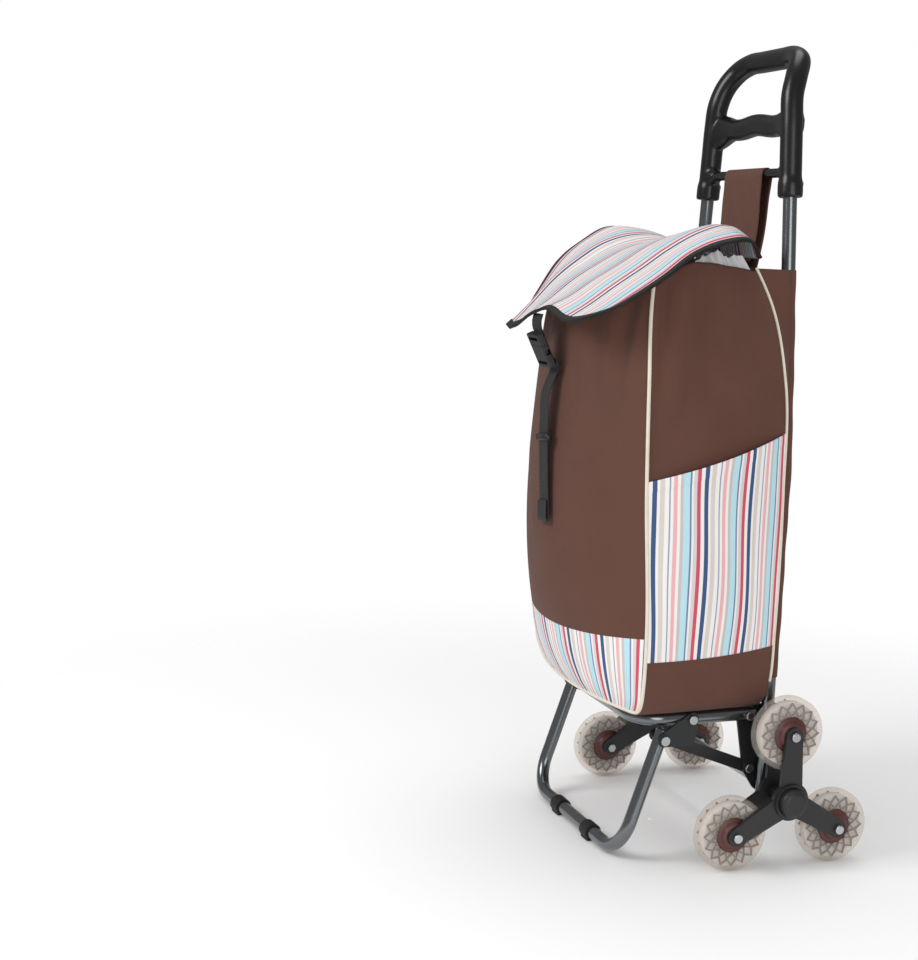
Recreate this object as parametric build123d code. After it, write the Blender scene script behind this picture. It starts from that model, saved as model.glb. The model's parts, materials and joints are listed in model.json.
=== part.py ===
from build123d import *
from math import atan2, cos, degrees, hypot, radians, sin, tan
import os

# A two-wheel-cluster shopping trolley: a tube frame, a folding platform with its foot,
# two stair-climbing wheel clusters and a cloth bag with a buckled flap.
# Millimetres, +Z up, +X to the right of a person who faces the bag, whose front looks to -Y.
# Pieces are drawn with the wheel axle at y = 0 and moved back when they are written, so that
# the origin lies on the floor in the middle of the trolley.

# Clearances
side_play = 0.4  # between pieces that turn past each other
pin_play = 0.1  # round a bolt that something turns on
cloth_gap = 0.3  # between cloth and what it lies on

# Frame tubes and their places
tube_d = 16.0
tube_wall = 1.5
platform_x = 128.0  # platform side tubes, from the middle plane
upright_x = platform_x - side_play
upright_bend_z = 470.0  # the uprights lean inward above this height
upright_bend_r = 260.0
upright_lean = 5.0  # degrees
upright_top_z = 812.0
upright_foot = 13.0  # tube left below the axle
plug_head = 2.0
plug_depth = 12.0

# Axle and wheel clusters
wheel_r = 43.5
arm_length = 77.0  # cluster centre to wheel centre
axle_z = wheel_r + arm_length * sin(radians(30))
axle_d = 10.0
axle_end_x = 204.0
spacer_d = 15.0
spider_thick = 5.0
spider_hub_d = 46.0
spider_arm_d = 30.0  # width of an arm where it leaves the hub
spider_eye_d = 21.0  # round end of an arm
spider_ring_w = 3.0  # raised ring round the end cap
spider_ring_h = 3.0
wheel_room = 28.0  # between the two spiders of a cluster
inner_spider_x = 156.0  # inner face of the inner spider
hub_sleeve_d = 19.0
cap_d = 34.0
cap_length = 13.5
cap_seat = 8.0  # axle length inside the cap
cap_round = 7.0

# Wheels
wheel_bolt_d = 6.0
bolt_head_d = 11.0
bolt_head_h = 4.0
bolt_head_round = 1.2
wheel_hub_d = 30.0
wheel_hub_length = wheel_room - 2 * side_play
web_r = 36.0  # outer edge of the pierced flange inside the tyre
web_thick = 3.0
web_holes = 12
web_hole_d = 9.0
web_hole_r = 25.0
tyre_width = 23.0
tyre_round = 7.0

# Moulded handle
handle_bottom_z = 772.0
handle_grip_z = 936.5
handle_grip_half = 52.0  # half of the level stretch of the upper grip
handle_set_back = 20.0  # the upper grip lies behind the tubes
handle_height = handle_grip_z - handle_bottom_z
shoulder_share = 0.8085  # of the handle's height
handle_shoulder_z = handle_bottom_z + shoulder_share * handle_height
handle_shoulder_x = 82.0
handle_shoulder_back = 6.0
handle_d = 26.0
bar_d = 25.0
bar_share = 0.529  # of the handle's height
bar_z = handle_bottom_z + bar_share * handle_height
bar_wave = 5.0
bar_wave_x = 40.0
bar_set_back = 8.0
rod_d = 11.0
rod_share = 0.1762918  # of the handle's height
rod_z = handle_bottom_z + rod_share * handle_height
rod_seat = 2.5  # rod length inside each handle leg
boss_d = 19.0
boss_end_d = 15.0
boss_length = 8.0
screw_d = 4.0
screw_head_d = 8.0
screw_head_h = 2.0
screw_z = 788.0

# Folding platform, foot and struts
platform_z = 170.0
platform_front = 168.0  # front bar ahead of the axle
platform_bend_r = 32.0
fold_pivot_y = -28.0
platform_tail = 9.0  # tube behind its pivot
foot_pivot_y = -104.0
foot_bolt_y = -139.0
foot_bolt_z = 147.0
foot_front = 184.0
foot_bend_r = 40.0
foot_tube_top = 10.0  # leg tube above its bolt
pad_x = 46.0
pad_length = 19.0
pad_wall = 2.4
pad_base = 15.0
pad_sole = 2.0
plate_thick = 3.0
plate_eye_d = 16.0
strut_pivot_y = -15.0
strut_pivot_z = 100.0
strut_width = 14.0
pivot_bolt_d = 6.0
stud_d = 12.0
nut_h = 4.5

# Bag of cloth panels
cloth = 2.0
bag_half_width = 164.0
bag_front = 192.0  # front corners ahead of the axle
bag_rear = 12.5  # back ahead of the axle
rear_inset = 12.0  # the back is narrower than the front, each side
seam_z = 272.0  # top of the striped band
rim_front_z = 655.0  # the rim slopes up to the back
rim_slope = 0.3
pocket_bottom_z = 252.0
pocket_front_z = 452.0
pocket_rear_z = 505.0
pocket_room = 9.0
pocket_cloth = 1.6
piping_d = 4.0
piping_stand_off = 3.6  # foot piping ahead of the band
piping_turns = 5  # straight runs along each half of the foot
rear_piping_z = 214.0
board_thick = 2.5
board_margin = 16.0
collar_depth = 55.0
collar_cloth = 1.2
collar_gap = 0.8  # between the collar and the bag's walls
sleeve_cloth = 1.5
sleeve_bottom_z = 214.0
sleeve_top_z = 690.0
carrier_bottom_z = 560.0
loop_half_width = 45.0
loop_cloth = 1.6
loop_foot = 14.0  # overlap of the loop on the carrier panel

# Each row of the bag: height above its floor, then how far the sides, the front and the back
# are drawn in there, then how far the sides and the front belly out.
bag_rows = [
    (0.0, 22.0, 16.0, 1.0, 3.0, 20.0),
    (16.0, 8.0, 13.0, 0.0, 4.0, 30.0),
    (36.0, 3.0, 12.0, 0.0, 8.0, 40.0),
    (95.0, 0.0, 11.0, 0.0, 15.0, 56.0),
    (260.0, 2.0, 2.0, 0.0, 16.0, 60.0),
    (380.0, 9.0, 1.0, 2.0, 14.0, 46.0),
    (470.0, 28.0, 8.0, 14.0, 11.0, 44.0),
    (535.0, 46.0, 22.0, 32.0, 8.0, 30.0),
]

# Flap, buckle and straps
flap_half_width = 160.0
flap_cloth = 2.5
flap_corner_r = 60.0
flap_seam_d = 4.0
flap_crest_rise = 30.0  # crest above the rear seam
flap_early_rise = 0.8  # share of that rise reached halfway to the crest
flap_crest_run = 52.0
flap_mid_rise = -10.0
flap_mid_run = 122.0
flap_brow_drop = 36.0
flap_brow_run = 178.0
flap_lip_drop = 66.0
flap_lip_run = 232.0
binding_width = 8.0
binding_wall = 1.0
webbing_width = 25.0
webbing_thick = 1.6
buckle_x = 3.0
buckle_y = -262.0
buckle_z = 592.0
buckle_width = 36.0
buckle_thick = 9.0
socket_length = 27.0
socket_width = 28.0
socket_depth = 15.0
socket_height = 6.0
tongue_play = 1.1
tongue_length = 12.0
tongue_gap = 8.0
base_length = 14.0
slot_length = 4.0
slot_bar = 3.5
strap_end_z = 386.0
strap_slant = 6.0  # degrees, the strap hangs askew
strap_stand_off = 3.0  # strap ahead of the bag's belly
strap_room = 1.4  # slanted webbing behind the socket
strap_lead = 7.0  # straight webbing below the buckle
keeper_z = 484.0
keeper_height = 8.0
keeper_wall = 1.2

# Values that follow from the sizes above
tube_r = tube_d / 2
foot_x = platform_x + side_play
foot_z = tube_r + pad_sole
outer_spider_x = inner_spider_x + spider_thick + wheel_room
wheel_x = inner_spider_x + spider_thick + wheel_room / 2
bracket_x = upright_x - tube_r - plate_thick
strut_x = bracket_x - side_play - plate_thick
coupler_x = foot_x + tube_r
bag_floor_z = platform_z + tube_r + cloth_gap
panel_z = bag_floor_z + cloth
carrier_y = -(tube_r + cloth_gap + sleeve_cloth)


def upright_line_x(z):
    return upright_x - max(z - upright_bend_z, 0) * tan(radians(upright_lean))


def rim_z(y):
    return rim_front_z + rim_slope * (y + bag_front)


# Helpers for rods, plates and bent tubes
def rod_x(d, x0, x1, y=0.0, z=0.0):
    cylinder = Cylinder(d / 2, x1 - x0)
    return Pos((x0 + x1) / 2, y, z) * Rot(0, 90, 0) * cylinder


def plate_x(outline, x0, thick):
    # The sketch's axes lie along +Y and +Z.
    return extrude(Plane((x0, 0, 0), (0, 1, 0), (1, 0, 0)) * outline, thick)


def bent_tube(path, d, wall):
    start = Plane(path @ 0, z_dir=path % 0)
    ring = Circle(d / 2) - Circle(d / 2 - wall)
    return sweep(start * ring, path)


def mirrored(shape):
    return mirror(shape, Plane.YZ)


def bolt(d, x0, x1, y, z, head_first=False):
    # A shank along X with a head at one end and a nut at the other.
    head_x = x0 - bolt_head_h if head_first else x1
    nut_x = x1 if head_first else x0 - nut_h
    head = rod_x(bolt_head_d, head_x, head_x + bolt_head_h, y, z)
    head = fillet(head.edges().filter_by(GeomType.CIRCLE), bolt_head_round)
    nut = plate_x(Pos(y, z) * RegularPolygon(bolt_head_d / 2, 6), nut_x, nut_h)
    return rod_x(d, x0, x1, y, z) + head + nut


# Uprights, their plugs and the side brackets
def upright_path(z0, z1):
    return FilletPolyline(
        (upright_line_x(z0), 0, z0),
        (upright_x, 0, upright_bend_z),
        (upright_line_x(z1), 0, z1),
        radius=upright_bend_r,
    )


def make_upright():
    tube = bent_tube(upright_path(axle_z - upright_foot, upright_top_z), tube_d, tube_wall)
    reach = platform_x + tube_d
    tube -= rod_x(axle_d, 0, reach, 0, axle_z)
    return tube - screw_shank()


def screw_shank():
    x = upright_line_x(screw_z)
    length = handle_d / 2
    return Pos(x, length / 2, screw_z) * Rot(90, 0, 0) * Cylinder(screw_d / 2, length)


def make_plug():
    z = axle_z - upright_foot
    head = Pos(upright_x, 0, z - plug_head / 2) * Cylinder(tube_r, plug_head)
    stem_top = min(plug_depth, upright_foot - axle_d / 2 - side_play)
    stem = Pos(upright_x, 0, z + stem_top / 2) * Cylinder(tube_r - tube_wall, stem_top)
    return head + stem


def make_bracket():
    eyes = Pos(0, axle_z) * Circle(spacer_d / 2 + plate_thick)
    eyes += Pos(strut_pivot_y, strut_pivot_z) * Circle(plate_eye_d / 2)
    eyes += Pos(fold_pivot_y, platform_z) * Circle(plate_eye_d / 2)
    eyes += Pos(0, platform_z) * Circle(plate_eye_d / 2)
    outline = make_hull(eyes.edges())
    outline -= Pos(0, axle_z) * Circle(axle_d / 2)
    outline -= Pos(strut_pivot_y, strut_pivot_z) * Circle(pivot_bolt_d / 2)
    outline -= Pos(fold_pivot_y, platform_z) * Circle(pivot_bolt_d / 2)
    return plate_x(outline, bracket_x, plate_thick)


# Moulded handle with two grips, its cross rod and screws
def handle_leg_points():
    low = (upright_line_x(handle_bottom_z), 0, handle_bottom_z)
    socket = (upright_line_x(upright_top_z), 0, upright_top_z)
    return low, socket


def make_handle():
    low, socket = handle_leg_points()
    lean = (-tan(radians(upright_lean)), 0, 1)
    rise = Spline(
        socket,
        (handle_shoulder_x, handle_shoulder_back, handle_shoulder_z),
        (handle_grip_half, handle_set_back, handle_grip_z),
        tangents=[lean, (-1, 0, 0)],
    )
    leg = Line(low, socket)
    level = Line((handle_grip_half, handle_set_back, handle_grip_z), (0, handle_set_back, handle_grip_z))
    path = Wire([leg.edge(), rise.edge(), level.edge()])
    half = sweep(Plane(low, z_dir=lean) * Circle(handle_d / 2), path)
    bar_end = (upright_line_x(bar_z) - bar_set_back / 2, bar_set_back, bar_z)
    bar_path = Spline(
        bar_end,
        (bar_wave_x, bar_set_back, bar_z - bar_wave),
        (0, bar_set_back, bar_z),
        tangents=[(-1, 0, 0), (-1, 0, 0)],
    )
    bar = sweep(Plane(bar_end, z_dir=(-1, 0, 0)) * Circle(bar_d / 2), bar_path)
    boss_x = upright_line_x(rod_z) - handle_d / 2 - boss_length
    boss = Cone(boss_end_d / 2, boss_d / 2, 2 * boss_length)
    boss = Pos(boss_x + boss_length, 0, rod_z) * Rot(0, 90, 0) * boss
    half = half + bar + boss
    half -= bent_core(low, socket)
    half -= rod_x(rod_d, 0, rod_end_x(), 0, rod_z)
    half -= screw_shank()
    return half + mirrored(half)


def bent_core(low, socket):
    line = Line(low, socket)
    return sweep(Plane(low, z_dir=line % 0) * Circle(tube_r), line)


def rod_end_x():
    return upright_line_x(rod_z) - handle_d / 2 + rod_seat


def make_screw():
    head_y = handle_d / 2
    head = Pos(upright_line_x(screw_z), head_y + screw_head_h / 2, screw_z) * Rot(90, 0, 0)
    return screw_shank() + head * Cylinder(screw_head_d / 2, screw_head_h)


# Axle with its spacers and end caps
def make_axle():
    return rod_x(axle_d, -axle_end_x, axle_end_x, 0, axle_z)


def make_spacer():
    x0 = upright_x + tube_r
    x1 = inner_spider_x - side_play
    return rod_x(spacer_d, x0, x1, 0, axle_z) - rod_x(axle_d, x0, x1, 0, axle_z)


def make_cap():
    x0 = outer_spider_x + spider_thick + side_play
    cap = rod_x(cap_d, x0, x0 + cap_length, 0, axle_z)
    cap = fillet(cap.edges().filter_by(GeomType.CIRCLE).sort_by(Axis.X)[-1], cap_round)
    return cap - rod_x(axle_d, 0, axle_end_x, 0, axle_z)


# Wheel clusters: two spiders, a hub sleeve, three bolts and three wheels
def arm_angles():
    return [90, 210, 330]


def wheel_center(angle):
    return arm_length * cos(radians(angle)), axle_z + arm_length * sin(radians(angle))


def make_spider(x0):
    # A flat plate with three tapered arms and an eye for each wheel bolt.
    outline = Pos(0, axle_z) * Circle(spider_hub_d / 2)
    for angle in arm_angles():
        ends = Pos(0, axle_z) * Circle(spider_arm_d / 2)
        ends += Pos(*wheel_center(angle)) * Circle(spider_eye_d / 2)
        outline += make_hull(ends.edges())
    outline -= Pos(0, axle_z) * Circle(axle_d / 2 + pin_play)
    for angle in arm_angles():
        outline -= Pos(*wheel_center(angle)) * Circle(wheel_bolt_d / 2)
    return plate_x(outline, x0, spider_thick)


def make_outer_spider():
    x0 = outer_spider_x + spider_thick
    ring_d = cap_d + 4 * side_play
    ring = rod_x(ring_d + 2 * spider_ring_w, x0, x0 + spider_ring_h, 0, axle_z)
    ring -= rod_x(ring_d, x0, x0 + spider_ring_h, 0, axle_z)
    return make_spider(outer_spider_x) + ring


def make_hub_sleeve():
    x0 = inner_spider_x + spider_thick
    sleeve = rod_x(hub_sleeve_d, x0, x0 + wheel_room, 0, axle_z)
    return sleeve - rod_x(axle_d + 2 * pin_play, x0, x0 + wheel_room, 0, axle_z)


def make_wheel_bolts():
    bolts = []
    for angle in arm_angles():
        y, z = wheel_center(angle)
        bolts.append(bolt(wheel_bolt_d, inner_spider_x, outer_spider_x + spider_thick, y, z))
    return bolts


def make_wheel_hub():
    half = wheel_hub_length / 2
    hub = rod_x(wheel_hub_d, -half, half)
    web = rod_x(2 * web_r, -web_thick / 2, web_thick / 2)
    for turn in range(web_holes):
        angle = radians(turn * 360 / web_holes)
        web -= rod_x(web_hole_d, -web_thick, web_thick, web_hole_r * cos(angle), web_hole_r * sin(angle))
    return hub + web - rod_x(wheel_bolt_d + 2 * pin_play, -half, half)


def make_tyre(hub):
    tyre = rod_x(2 * wheel_r, -tyre_width / 2, tyre_width / 2)
    tyre = fillet(tyre.edges().filter_by(GeomType.CIRCLE), tyre_round)
    tyre -= rod_x(wheel_hub_d, -tyre_width, tyre_width)
    return tyre - hub


# Folding platform, foot frame, coupler plates and struts
def u_path(half_width, length, bend_r):
    # A U in the XY plane, open to +Y, with its cross bar at y = -length.
    return FilletPolyline(
        (half_width, 0, 0),
        (half_width, -length, 0),
        (-half_width, -length, 0),
        (-half_width, 0, 0),
        radius=bend_r,
    )


def make_platform():
    rear_y = fold_pivot_y + platform_tail
    tube = bent_tube(u_path(platform_x, platform_front + rear_y, platform_bend_r), tube_d, tube_wall)
    tube = Pos(0, rear_y, platform_z) * tube
    reach = platform_x + tube_d
    for y in (fold_pivot_y, foot_pivot_y):
        tube -= rod_x(pivot_bolt_d + 2 * pin_play, -reach, reach, y, platform_z)
    return tube


def make_foot():
    length = hypot(foot_front + foot_bolt_y, foot_bolt_z - foot_z) + foot_tube_top
    slope = degrees(atan2(foot_front + foot_bolt_y, foot_bolt_z - foot_z))
    tube = bent_tube(u_path(foot_x, length, foot_bend_r), tube_d, tube_wall)
    tube = Rot(90 - slope, 0, 0) * Pos(0, length, 0) * tube
    tube = Pos(0, -foot_front, foot_z) * tube
    reach = foot_x + tube_d
    return tube - rod_x(pivot_bolt_d, -reach, reach, foot_bolt_y, foot_bolt_z)


def make_pad():
    radius = tube_r + pad_wall
    pad = rod_x(2 * radius, pad_x - pad_length / 2, pad_x + pad_length / 2, -foot_front, foot_z)
    pad += Pos(pad_x, -foot_front, foot_z / 2) * Box(pad_length, pad_base, foot_z)
    pad -= rod_x(tube_d, 0, platform_x, -foot_front, foot_z)
    below = Pos(pad_x, -foot_front, -radius) * Box(2 * pad_length, 4 * radius, 2 * radius)
    return pad - below


def make_coupler():
    corner = (foot_pivot_y - plate_thick, foot_bolt_z)
    eyes = Pos(foot_pivot_y, platform_z) * Circle(plate_eye_d / 2)
    eyes += Pos(foot_bolt_y, foot_bolt_z) * Circle(plate_eye_d / 2)
    eyes += Pos(*corner) * Circle(plate_eye_d / 2)
    outline = make_hull(eyes.edges())
    outline -= Pos(foot_pivot_y, platform_z) * Circle(pivot_bolt_d / 2)
    outline -= Pos(foot_bolt_y, foot_bolt_z) * Circle(pivot_bolt_d / 2)
    return plate_x(outline, coupler_x, plate_thick)


def make_strut():
    ends = Pos(strut_pivot_y, strut_pivot_z) * Circle(strut_width / 2)
    ends += Pos(foot_bolt_y, foot_bolt_z) * Circle(strut_width / 2)
    outline = make_hull(ends.edges())
    outline -= Pos(strut_pivot_y, strut_pivot_z) * Circle(pivot_bolt_d / 2 + pin_play)
    strut = plate_x(outline, strut_x, plate_thick)
    stud_end = foot_x - tube_r - side_play
    return strut + rod_x(stud_d, strut_x, stud_end, foot_bolt_y, foot_bolt_z)


def make_fold_bolt():
    return bolt(pivot_bolt_d, bracket_x, platform_x + tube_r + side_play, fold_pivot_y, platform_z)


def make_strut_bolt():
    return bolt(pivot_bolt_d, strut_x - side_play, bracket_x + plate_thick, strut_pivot_y, strut_pivot_z)


def make_foot_bolts():
    x1 = coupler_x + plate_thick
    x0 = platform_x - tube_r - side_play
    pivot = bolt(pivot_bolt_d, x0, x1, foot_pivot_y, platform_z)
    shank = rod_x(pivot_bolt_d, foot_x - tube_r + tube_wall, x1, foot_bolt_y, foot_bolt_z)
    head = rod_x(bolt_head_d, x1, x1 + bolt_head_h, foot_bolt_y, foot_bolt_z)
    return [pivot, shank + head]


# Bag panels, lofted through the rows
def bag_points(row, inset=0.0, belly=0.0):
    height, side_tuck, front_tuck, rear_tuck, side_bulge, front_bulge = row
    z = panel_z + height
    front_x = bag_half_width - side_tuck - inset
    rear_x = front_x - rear_inset
    front_y = front_tuck - bag_front + inset
    rear_y = -bag_rear - rear_tuck - inset
    side_x = (front_x + rear_x) / 2 + side_bulge + belly
    side_y = (front_y + rear_y) / 2
    return {
        "front_left": Vector(-front_x, front_y, z),
        "front": Vector(0, front_y - front_bulge, z),
        "front_right": Vector(front_x, front_y, z),
        "right": Vector(side_x, side_y, z),
        "rear_right": Vector(rear_x, rear_y, z),
        "rear_left": Vector(-rear_x, rear_y, z),
        "left": Vector(-side_x, side_y, z),
    }


def wall_edges(points, start, middle, end):
    if middle is None:
        return Line(points[start], points[end])
    return ThreePointArc(points[start], points[middle], points[end])


def wall_panel(start, middle, end, outer=0.0, inner=cloth, belly=0.0):
    faces = []
    for row in bag_rows:
        skin = bag_points(row, outer, belly)
        back = bag_points(row, inner, belly)
        sides = [Line(skin[end], back[end]), Line(back[start], skin[start])]
        edges = wall_edges(skin, start, middle, end) + wall_edges(back, end, middle, start)
        faces.append(make_face(edges + sides[0] + sides[1]))
    return loft(faces, ruled=True)


def rim_plane(lift=0.0):
    tilt = degrees(atan2(rim_slope, 1))
    return Plane((0, -bag_front, rim_front_z + lift)).rotated((tilt, 0, 0))


def below_rim(panel, lift=0.0):
    return split(panel, bisect_by=rim_plane(lift), keep=Keep.BOTTOM)


def pocket_top_plane():
    rise = pocket_rear_z - pocket_front_z
    tilt = degrees(atan2(rise, bag_front - bag_rear))
    return Plane((0, -bag_front, pocket_front_z)).rotated((tilt, 0, 0))


def make_pocket():
    skin = cloth_gap + pocket_cloth
    pocket = wall_panel("front_right", "right", "rear_right", -skin, -cloth_gap, pocket_room)
    pocket = split(pocket, bisect_by=pocket_top_plane(), keep=Keep.BOTTOM)
    return split(pocket, bisect_by=Plane.XY.offset(pocket_bottom_z), keep=Keep.TOP)


def bag_walls():
    return [
        ("front_left", "front", "front_right"),
        ("front_right", "right", "rear_right"),
        ("rear_right", None, "rear_left"),
        ("rear_left", "left", "front_left"),
    ]


def bag_fill(inset):
    faces = []
    for row in bag_rows:
        points = bag_points(row, inset)
        faces.append(make_face([wall_edges(points, *wall) for wall in bag_walls()]))
    return loft(faces, ruled=True)


def make_collar():
    skin = cloth + collar_gap
    collar = bag_fill(skin) - bag_fill(skin + collar_cloth)
    collar = below_rim(collar, -cloth_gap)
    return split(collar, bisect_by=rim_plane(-collar_depth), keep=Keep.TOP)


def make_bottom():
    points = bag_points(bag_rows[0])
    edges = [wall_edges(points, *wall) for wall in bag_walls()]
    return extrude(make_face(edges), -cloth)


def make_board():
    p = bag_points(bag_rows[0], board_margin)
    corners = [p["front_left"], p["front_right"], p["rear_right"], p["rear_left"]]
    face = make_face(Polyline(*corners, close=True))
    return Pos(0, 0, cloth_gap) * extrude(face, board_thick)


def piping_points(corner, z0):
    shift = (piping_d / 2 + 2 * cloth_gap) * sin(radians(45))
    points = []
    for row in bag_rows:
        p = bag_points(row)[corner]
        lift = Vector(shift, -shift if "front" in corner else shift, 0)
        if z0 <= p.Z and p.Z < rim_z(p.Y) - piping_d:
            points.append(p + lift)
    return points


def make_cord(points):
    # Straight runs of cord with mitred turns.
    start = Plane(points[0], z_dir=points[1] - points[0])
    return sweep(start * Circle(piping_d / 2), Polyline(*points), transition=Transition.RIGHT)


def row_between(low, high, share):
    return [a + (b - a) * share for a, b in zip(low, high)]


def make_front_piping():
    # Down one front corner, along the foot of the front and up the other corner.
    share = piping_d / bag_rows[1][0]
    foot = bag_points(row_between(bag_rows[0], bag_rows[1], share))
    arc = wall_edges(foot, "front_left", "front", "front_right")
    half = [arc @ (0.5 + 0.5 * k / piping_turns) for k in range(piping_turns + 1)]
    half = [p - Vector(0, piping_stand_off, 0) for p in half]
    half = half + piping_points("front_right", panel_z + bag_rows[1][0])
    left = [Vector(-p.X, p.Y, p.Z) for p in half[1:]]
    return make_cord(left[::-1] + half)


def make_rear_piping():
    return make_cord(piping_points("rear_right", rear_piping_z))


def make_sleeve():
    start = upright_path(sleeve_bottom_z, sleeve_top_z)
    return bent_tube(start, tube_d + 2 * (cloth_gap + sleeve_cloth), sleeve_cloth)


def upright_core():
    path = upright_path(sleeve_bottom_z, sleeve_top_z)
    return Plane(path @ 0, z_dir=path % 0) * Circle(tube_r + cloth_gap)


def make_carrier():
    # The sheet behind the bag, with a sleeve for each upright along its edges.
    low_x = upright_line_x(carrier_bottom_z)
    top_x = upright_line_x(sleeve_top_z)
    corners = [(-low_x, carrier_bottom_z), (low_x, carrier_bottom_z)]
    corners += [(top_x, sleeve_top_z), (-top_x, sleeve_top_z)]
    face = Plane((0, carrier_y, 0), (1, 0, 0), (0, -1, 0)) * make_face(Polyline(*corners, close=True))
    sheet = extrude(face, sleeve_cloth, both=True)
    sleeves = both(make_sleeve())
    bores = both(sweep(upright_core(), upright_path(sleeve_bottom_z, sleeve_top_z)))
    return sheet + sleeves - bores


def make_loop():
    # A cloth loop that goes up over the cross rod and is sewn to both faces of the carrier panel.
    r = rod_d / 2 + cloth_gap
    foot_z0 = sleeve_top_z - loop_foot
    front_y = carrier_y - sleeve_cloth - loop_cloth / 2
    rear_y = carrier_y + sleeve_cloth + loop_cloth / 2
    mid = r + loop_cloth / 2
    path = Polyline((front_y, foot_z0), (front_y, sleeve_top_z), (-mid, rod_z))
    path += ThreePointArc((-mid, rod_z), (0, rod_z + mid), (mid, rod_z))
    path += Polyline((mid, rod_z), (rear_y, sleeve_top_z), (rear_y, foot_z0))
    band = trace(path, loop_cloth)
    face = Plane((-loop_half_width, 0, 0), (0, 1, 0), (1, 0, 0)) * band
    return extrude(face, 2 * loop_half_width)


# Flap with its binding and rear seam
def seam_center():
    row = bag_rows[-1]
    before = bag_rows[-2]
    tuck_rate = (row[3] - before[3]) / (row[0] - before[0])
    # The back leans by tuck_rate and the rim slopes, and the seam sits where the two meet.
    base_y = -bag_rear - before[3]
    base_z = panel_z + before[0]
    rise = (rim_z(base_y) - base_z) / (1 + rim_slope * tuck_rate)
    y = base_y - rise * tuck_rate - cloth / 2
    return y, rim_z(y) + flap_seam_d / 2 + cloth_gap


def make_flap_seam():
    y, z = seam_center()
    half = bag_half_width - bag_rows[-1][1] - rear_inset
    return rod_x(flap_seam_d, -half, half, y, z)


def flap_sheet(lift, thick):
    y, z = seam_center()
    start = flap_seam_d / 2 + side_play
    crest = (y - flap_crest_run, z + flap_crest_rise)
    middle = (y - flap_mid_run, z + flap_mid_rise)
    brow = (y - flap_brow_run, z - flap_brow_drop)
    lip = (y - flap_lip_run, z - flap_lip_drop)
    root = (y - start, z)
    rise = (y - flap_crest_run / 2, z + flap_crest_rise * flap_early_rise)
    top = [(p[0], p[1] + lift) for p in (root, rise, crest, middle, brow, lip)]
    under = [(p[0], p[1] - thick) for p in top]
    edges = Spline(*top) + Line(top[-1], under[-1]) + Spline(*under[::-1]) + Line(under[0], top[0])
    face = Plane((-flap_half_width, 0, 0), (0, 1, 0), (1, 0, 0)) * make_face(edges)
    return extrude(face, 2 * flap_half_width)


def flap_plan(margin):
    # The flap seen from above: a rectangle with rounded front corners.
    y = seam_center()[0]
    lip_y = y - flap_lip_run + margin
    half = flap_half_width - margin
    plan = Pos(0, (y + lip_y) / 2) * Rectangle(2 * half, y - lip_y)
    front = plan.vertices().sort_by(Axis.Y)[:2]
    plan = fillet(front, flap_corner_r - margin)
    return extrude(plan, handle_grip_z)


def make_flap():
    return flap_sheet(0.0, flap_cloth) & flap_plan(binding_width)


def make_binding():
    edge = flap_plan(0.0) - flap_plan(binding_width)
    return flap_sheet(binding_wall, flap_cloth + 2 * binding_wall) & edge


# Side-release buckle, its tab and the strap. The buckle leans along the arc that its upper half
# takes about the flap's seam, so that the halves part without touching.
def buckle_lean():
    y, z = seam_center()
    return degrees(atan2(z - buckle_z, y - buckle_y))


def buckle_place():
    lean = radians(buckle_lean())
    return Plane((buckle_x, buckle_y, buckle_z), x_dir=(1, 0, 0), z_dir=(0, -sin(lean), cos(lean)))


def make_buckle_socket():
    body = Pos(0, 0, -socket_length / 2) * Box(buckle_width, buckle_thick, socket_length)
    body = fillet(body.edges().filter_by(Axis.Z), buckle_thick / 4)
    body -= Pos(0, 0, -socket_depth / 2) * Box(socket_width, socket_height, socket_depth)
    slot_z = -socket_length + slot_bar + slot_length / 2
    body -= Pos(0, 0, slot_z) * Box(webbing_width + 2 * side_play, 2 * buckle_thick, slot_length)
    window_z = -socket_depth + tongue_length / 2
    for side in (-1, 1):
        window = Box(buckle_width - socket_width, socket_height, tongue_length / 2)
        body -= Pos(side * buckle_width / 2, 0, window_z) * window
    return buckle_place().location * body


def make_buckle_tongue():
    base = Pos(0, 0, side_play + base_length / 2) * Box(buckle_width, buckle_thick, base_length)
    base = fillet(base.edges().filter_by(Axis.Z), buckle_thick / 4)
    slot_z = side_play + base_length - slot_bar - slot_length / 2
    base -= Pos(0, 0, slot_z) * Box(webbing_width + 2 * side_play, 2 * buckle_thick, slot_length)
    width = socket_width - 2 * tongue_play
    tongue_low = side_play - tongue_length
    tongue = Pos(0, 0, tongue_low / 2 + side_play) * Box(width, socket_height - 2 * tongue_play, -tongue_low)
    notch = Box(tongue_gap, buckle_thick, tongue_length)
    for side in (-1, 1):
        tongue -= Pos(side * width / 4, 0, -tongue_length / 2) * Pos(0, 0, -side_play) * notch
    return buckle_place().location * (base + tongue)


def make_tab():
    # Webbing behind the slot of the buckle's upper half, sewn under the flap's lip.
    slot_z = side_play + base_length - slot_bar - slot_length / 2
    behind = (buckle_thick + webbing_thick) / 2 + cloth_gap
    low = buckle_place().from_local_coords(Vector(0, behind, slot_z))
    bend = buckle_place().from_local_coords(Vector(0, behind, slot_z + webbing_width / 2))
    y, z = seam_center()
    sewn = (y - flap_lip_run + binding_width, z - flap_lip_drop + binding_width)
    path = Polyline((low.Y, low.Z), (bend.Y, bend.Z), sewn)
    across = Plane((buckle_x - webbing_width / 2, 0, 0), (0, 1, 0), (1, 0, 0))
    tab = extrude(across * trace(path, webbing_thick), webbing_width)
    above = binding_wall + cloth_gap
    cut = tab - flap_sheet(above, flap_cloth + 2 * above)
    return cut.solids().sort_by(Axis.Z)[0]


def strap_y():
    belly = min(bag_points(row)["front"].Y for row in bag_rows)
    return belly - strap_stand_off


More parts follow.
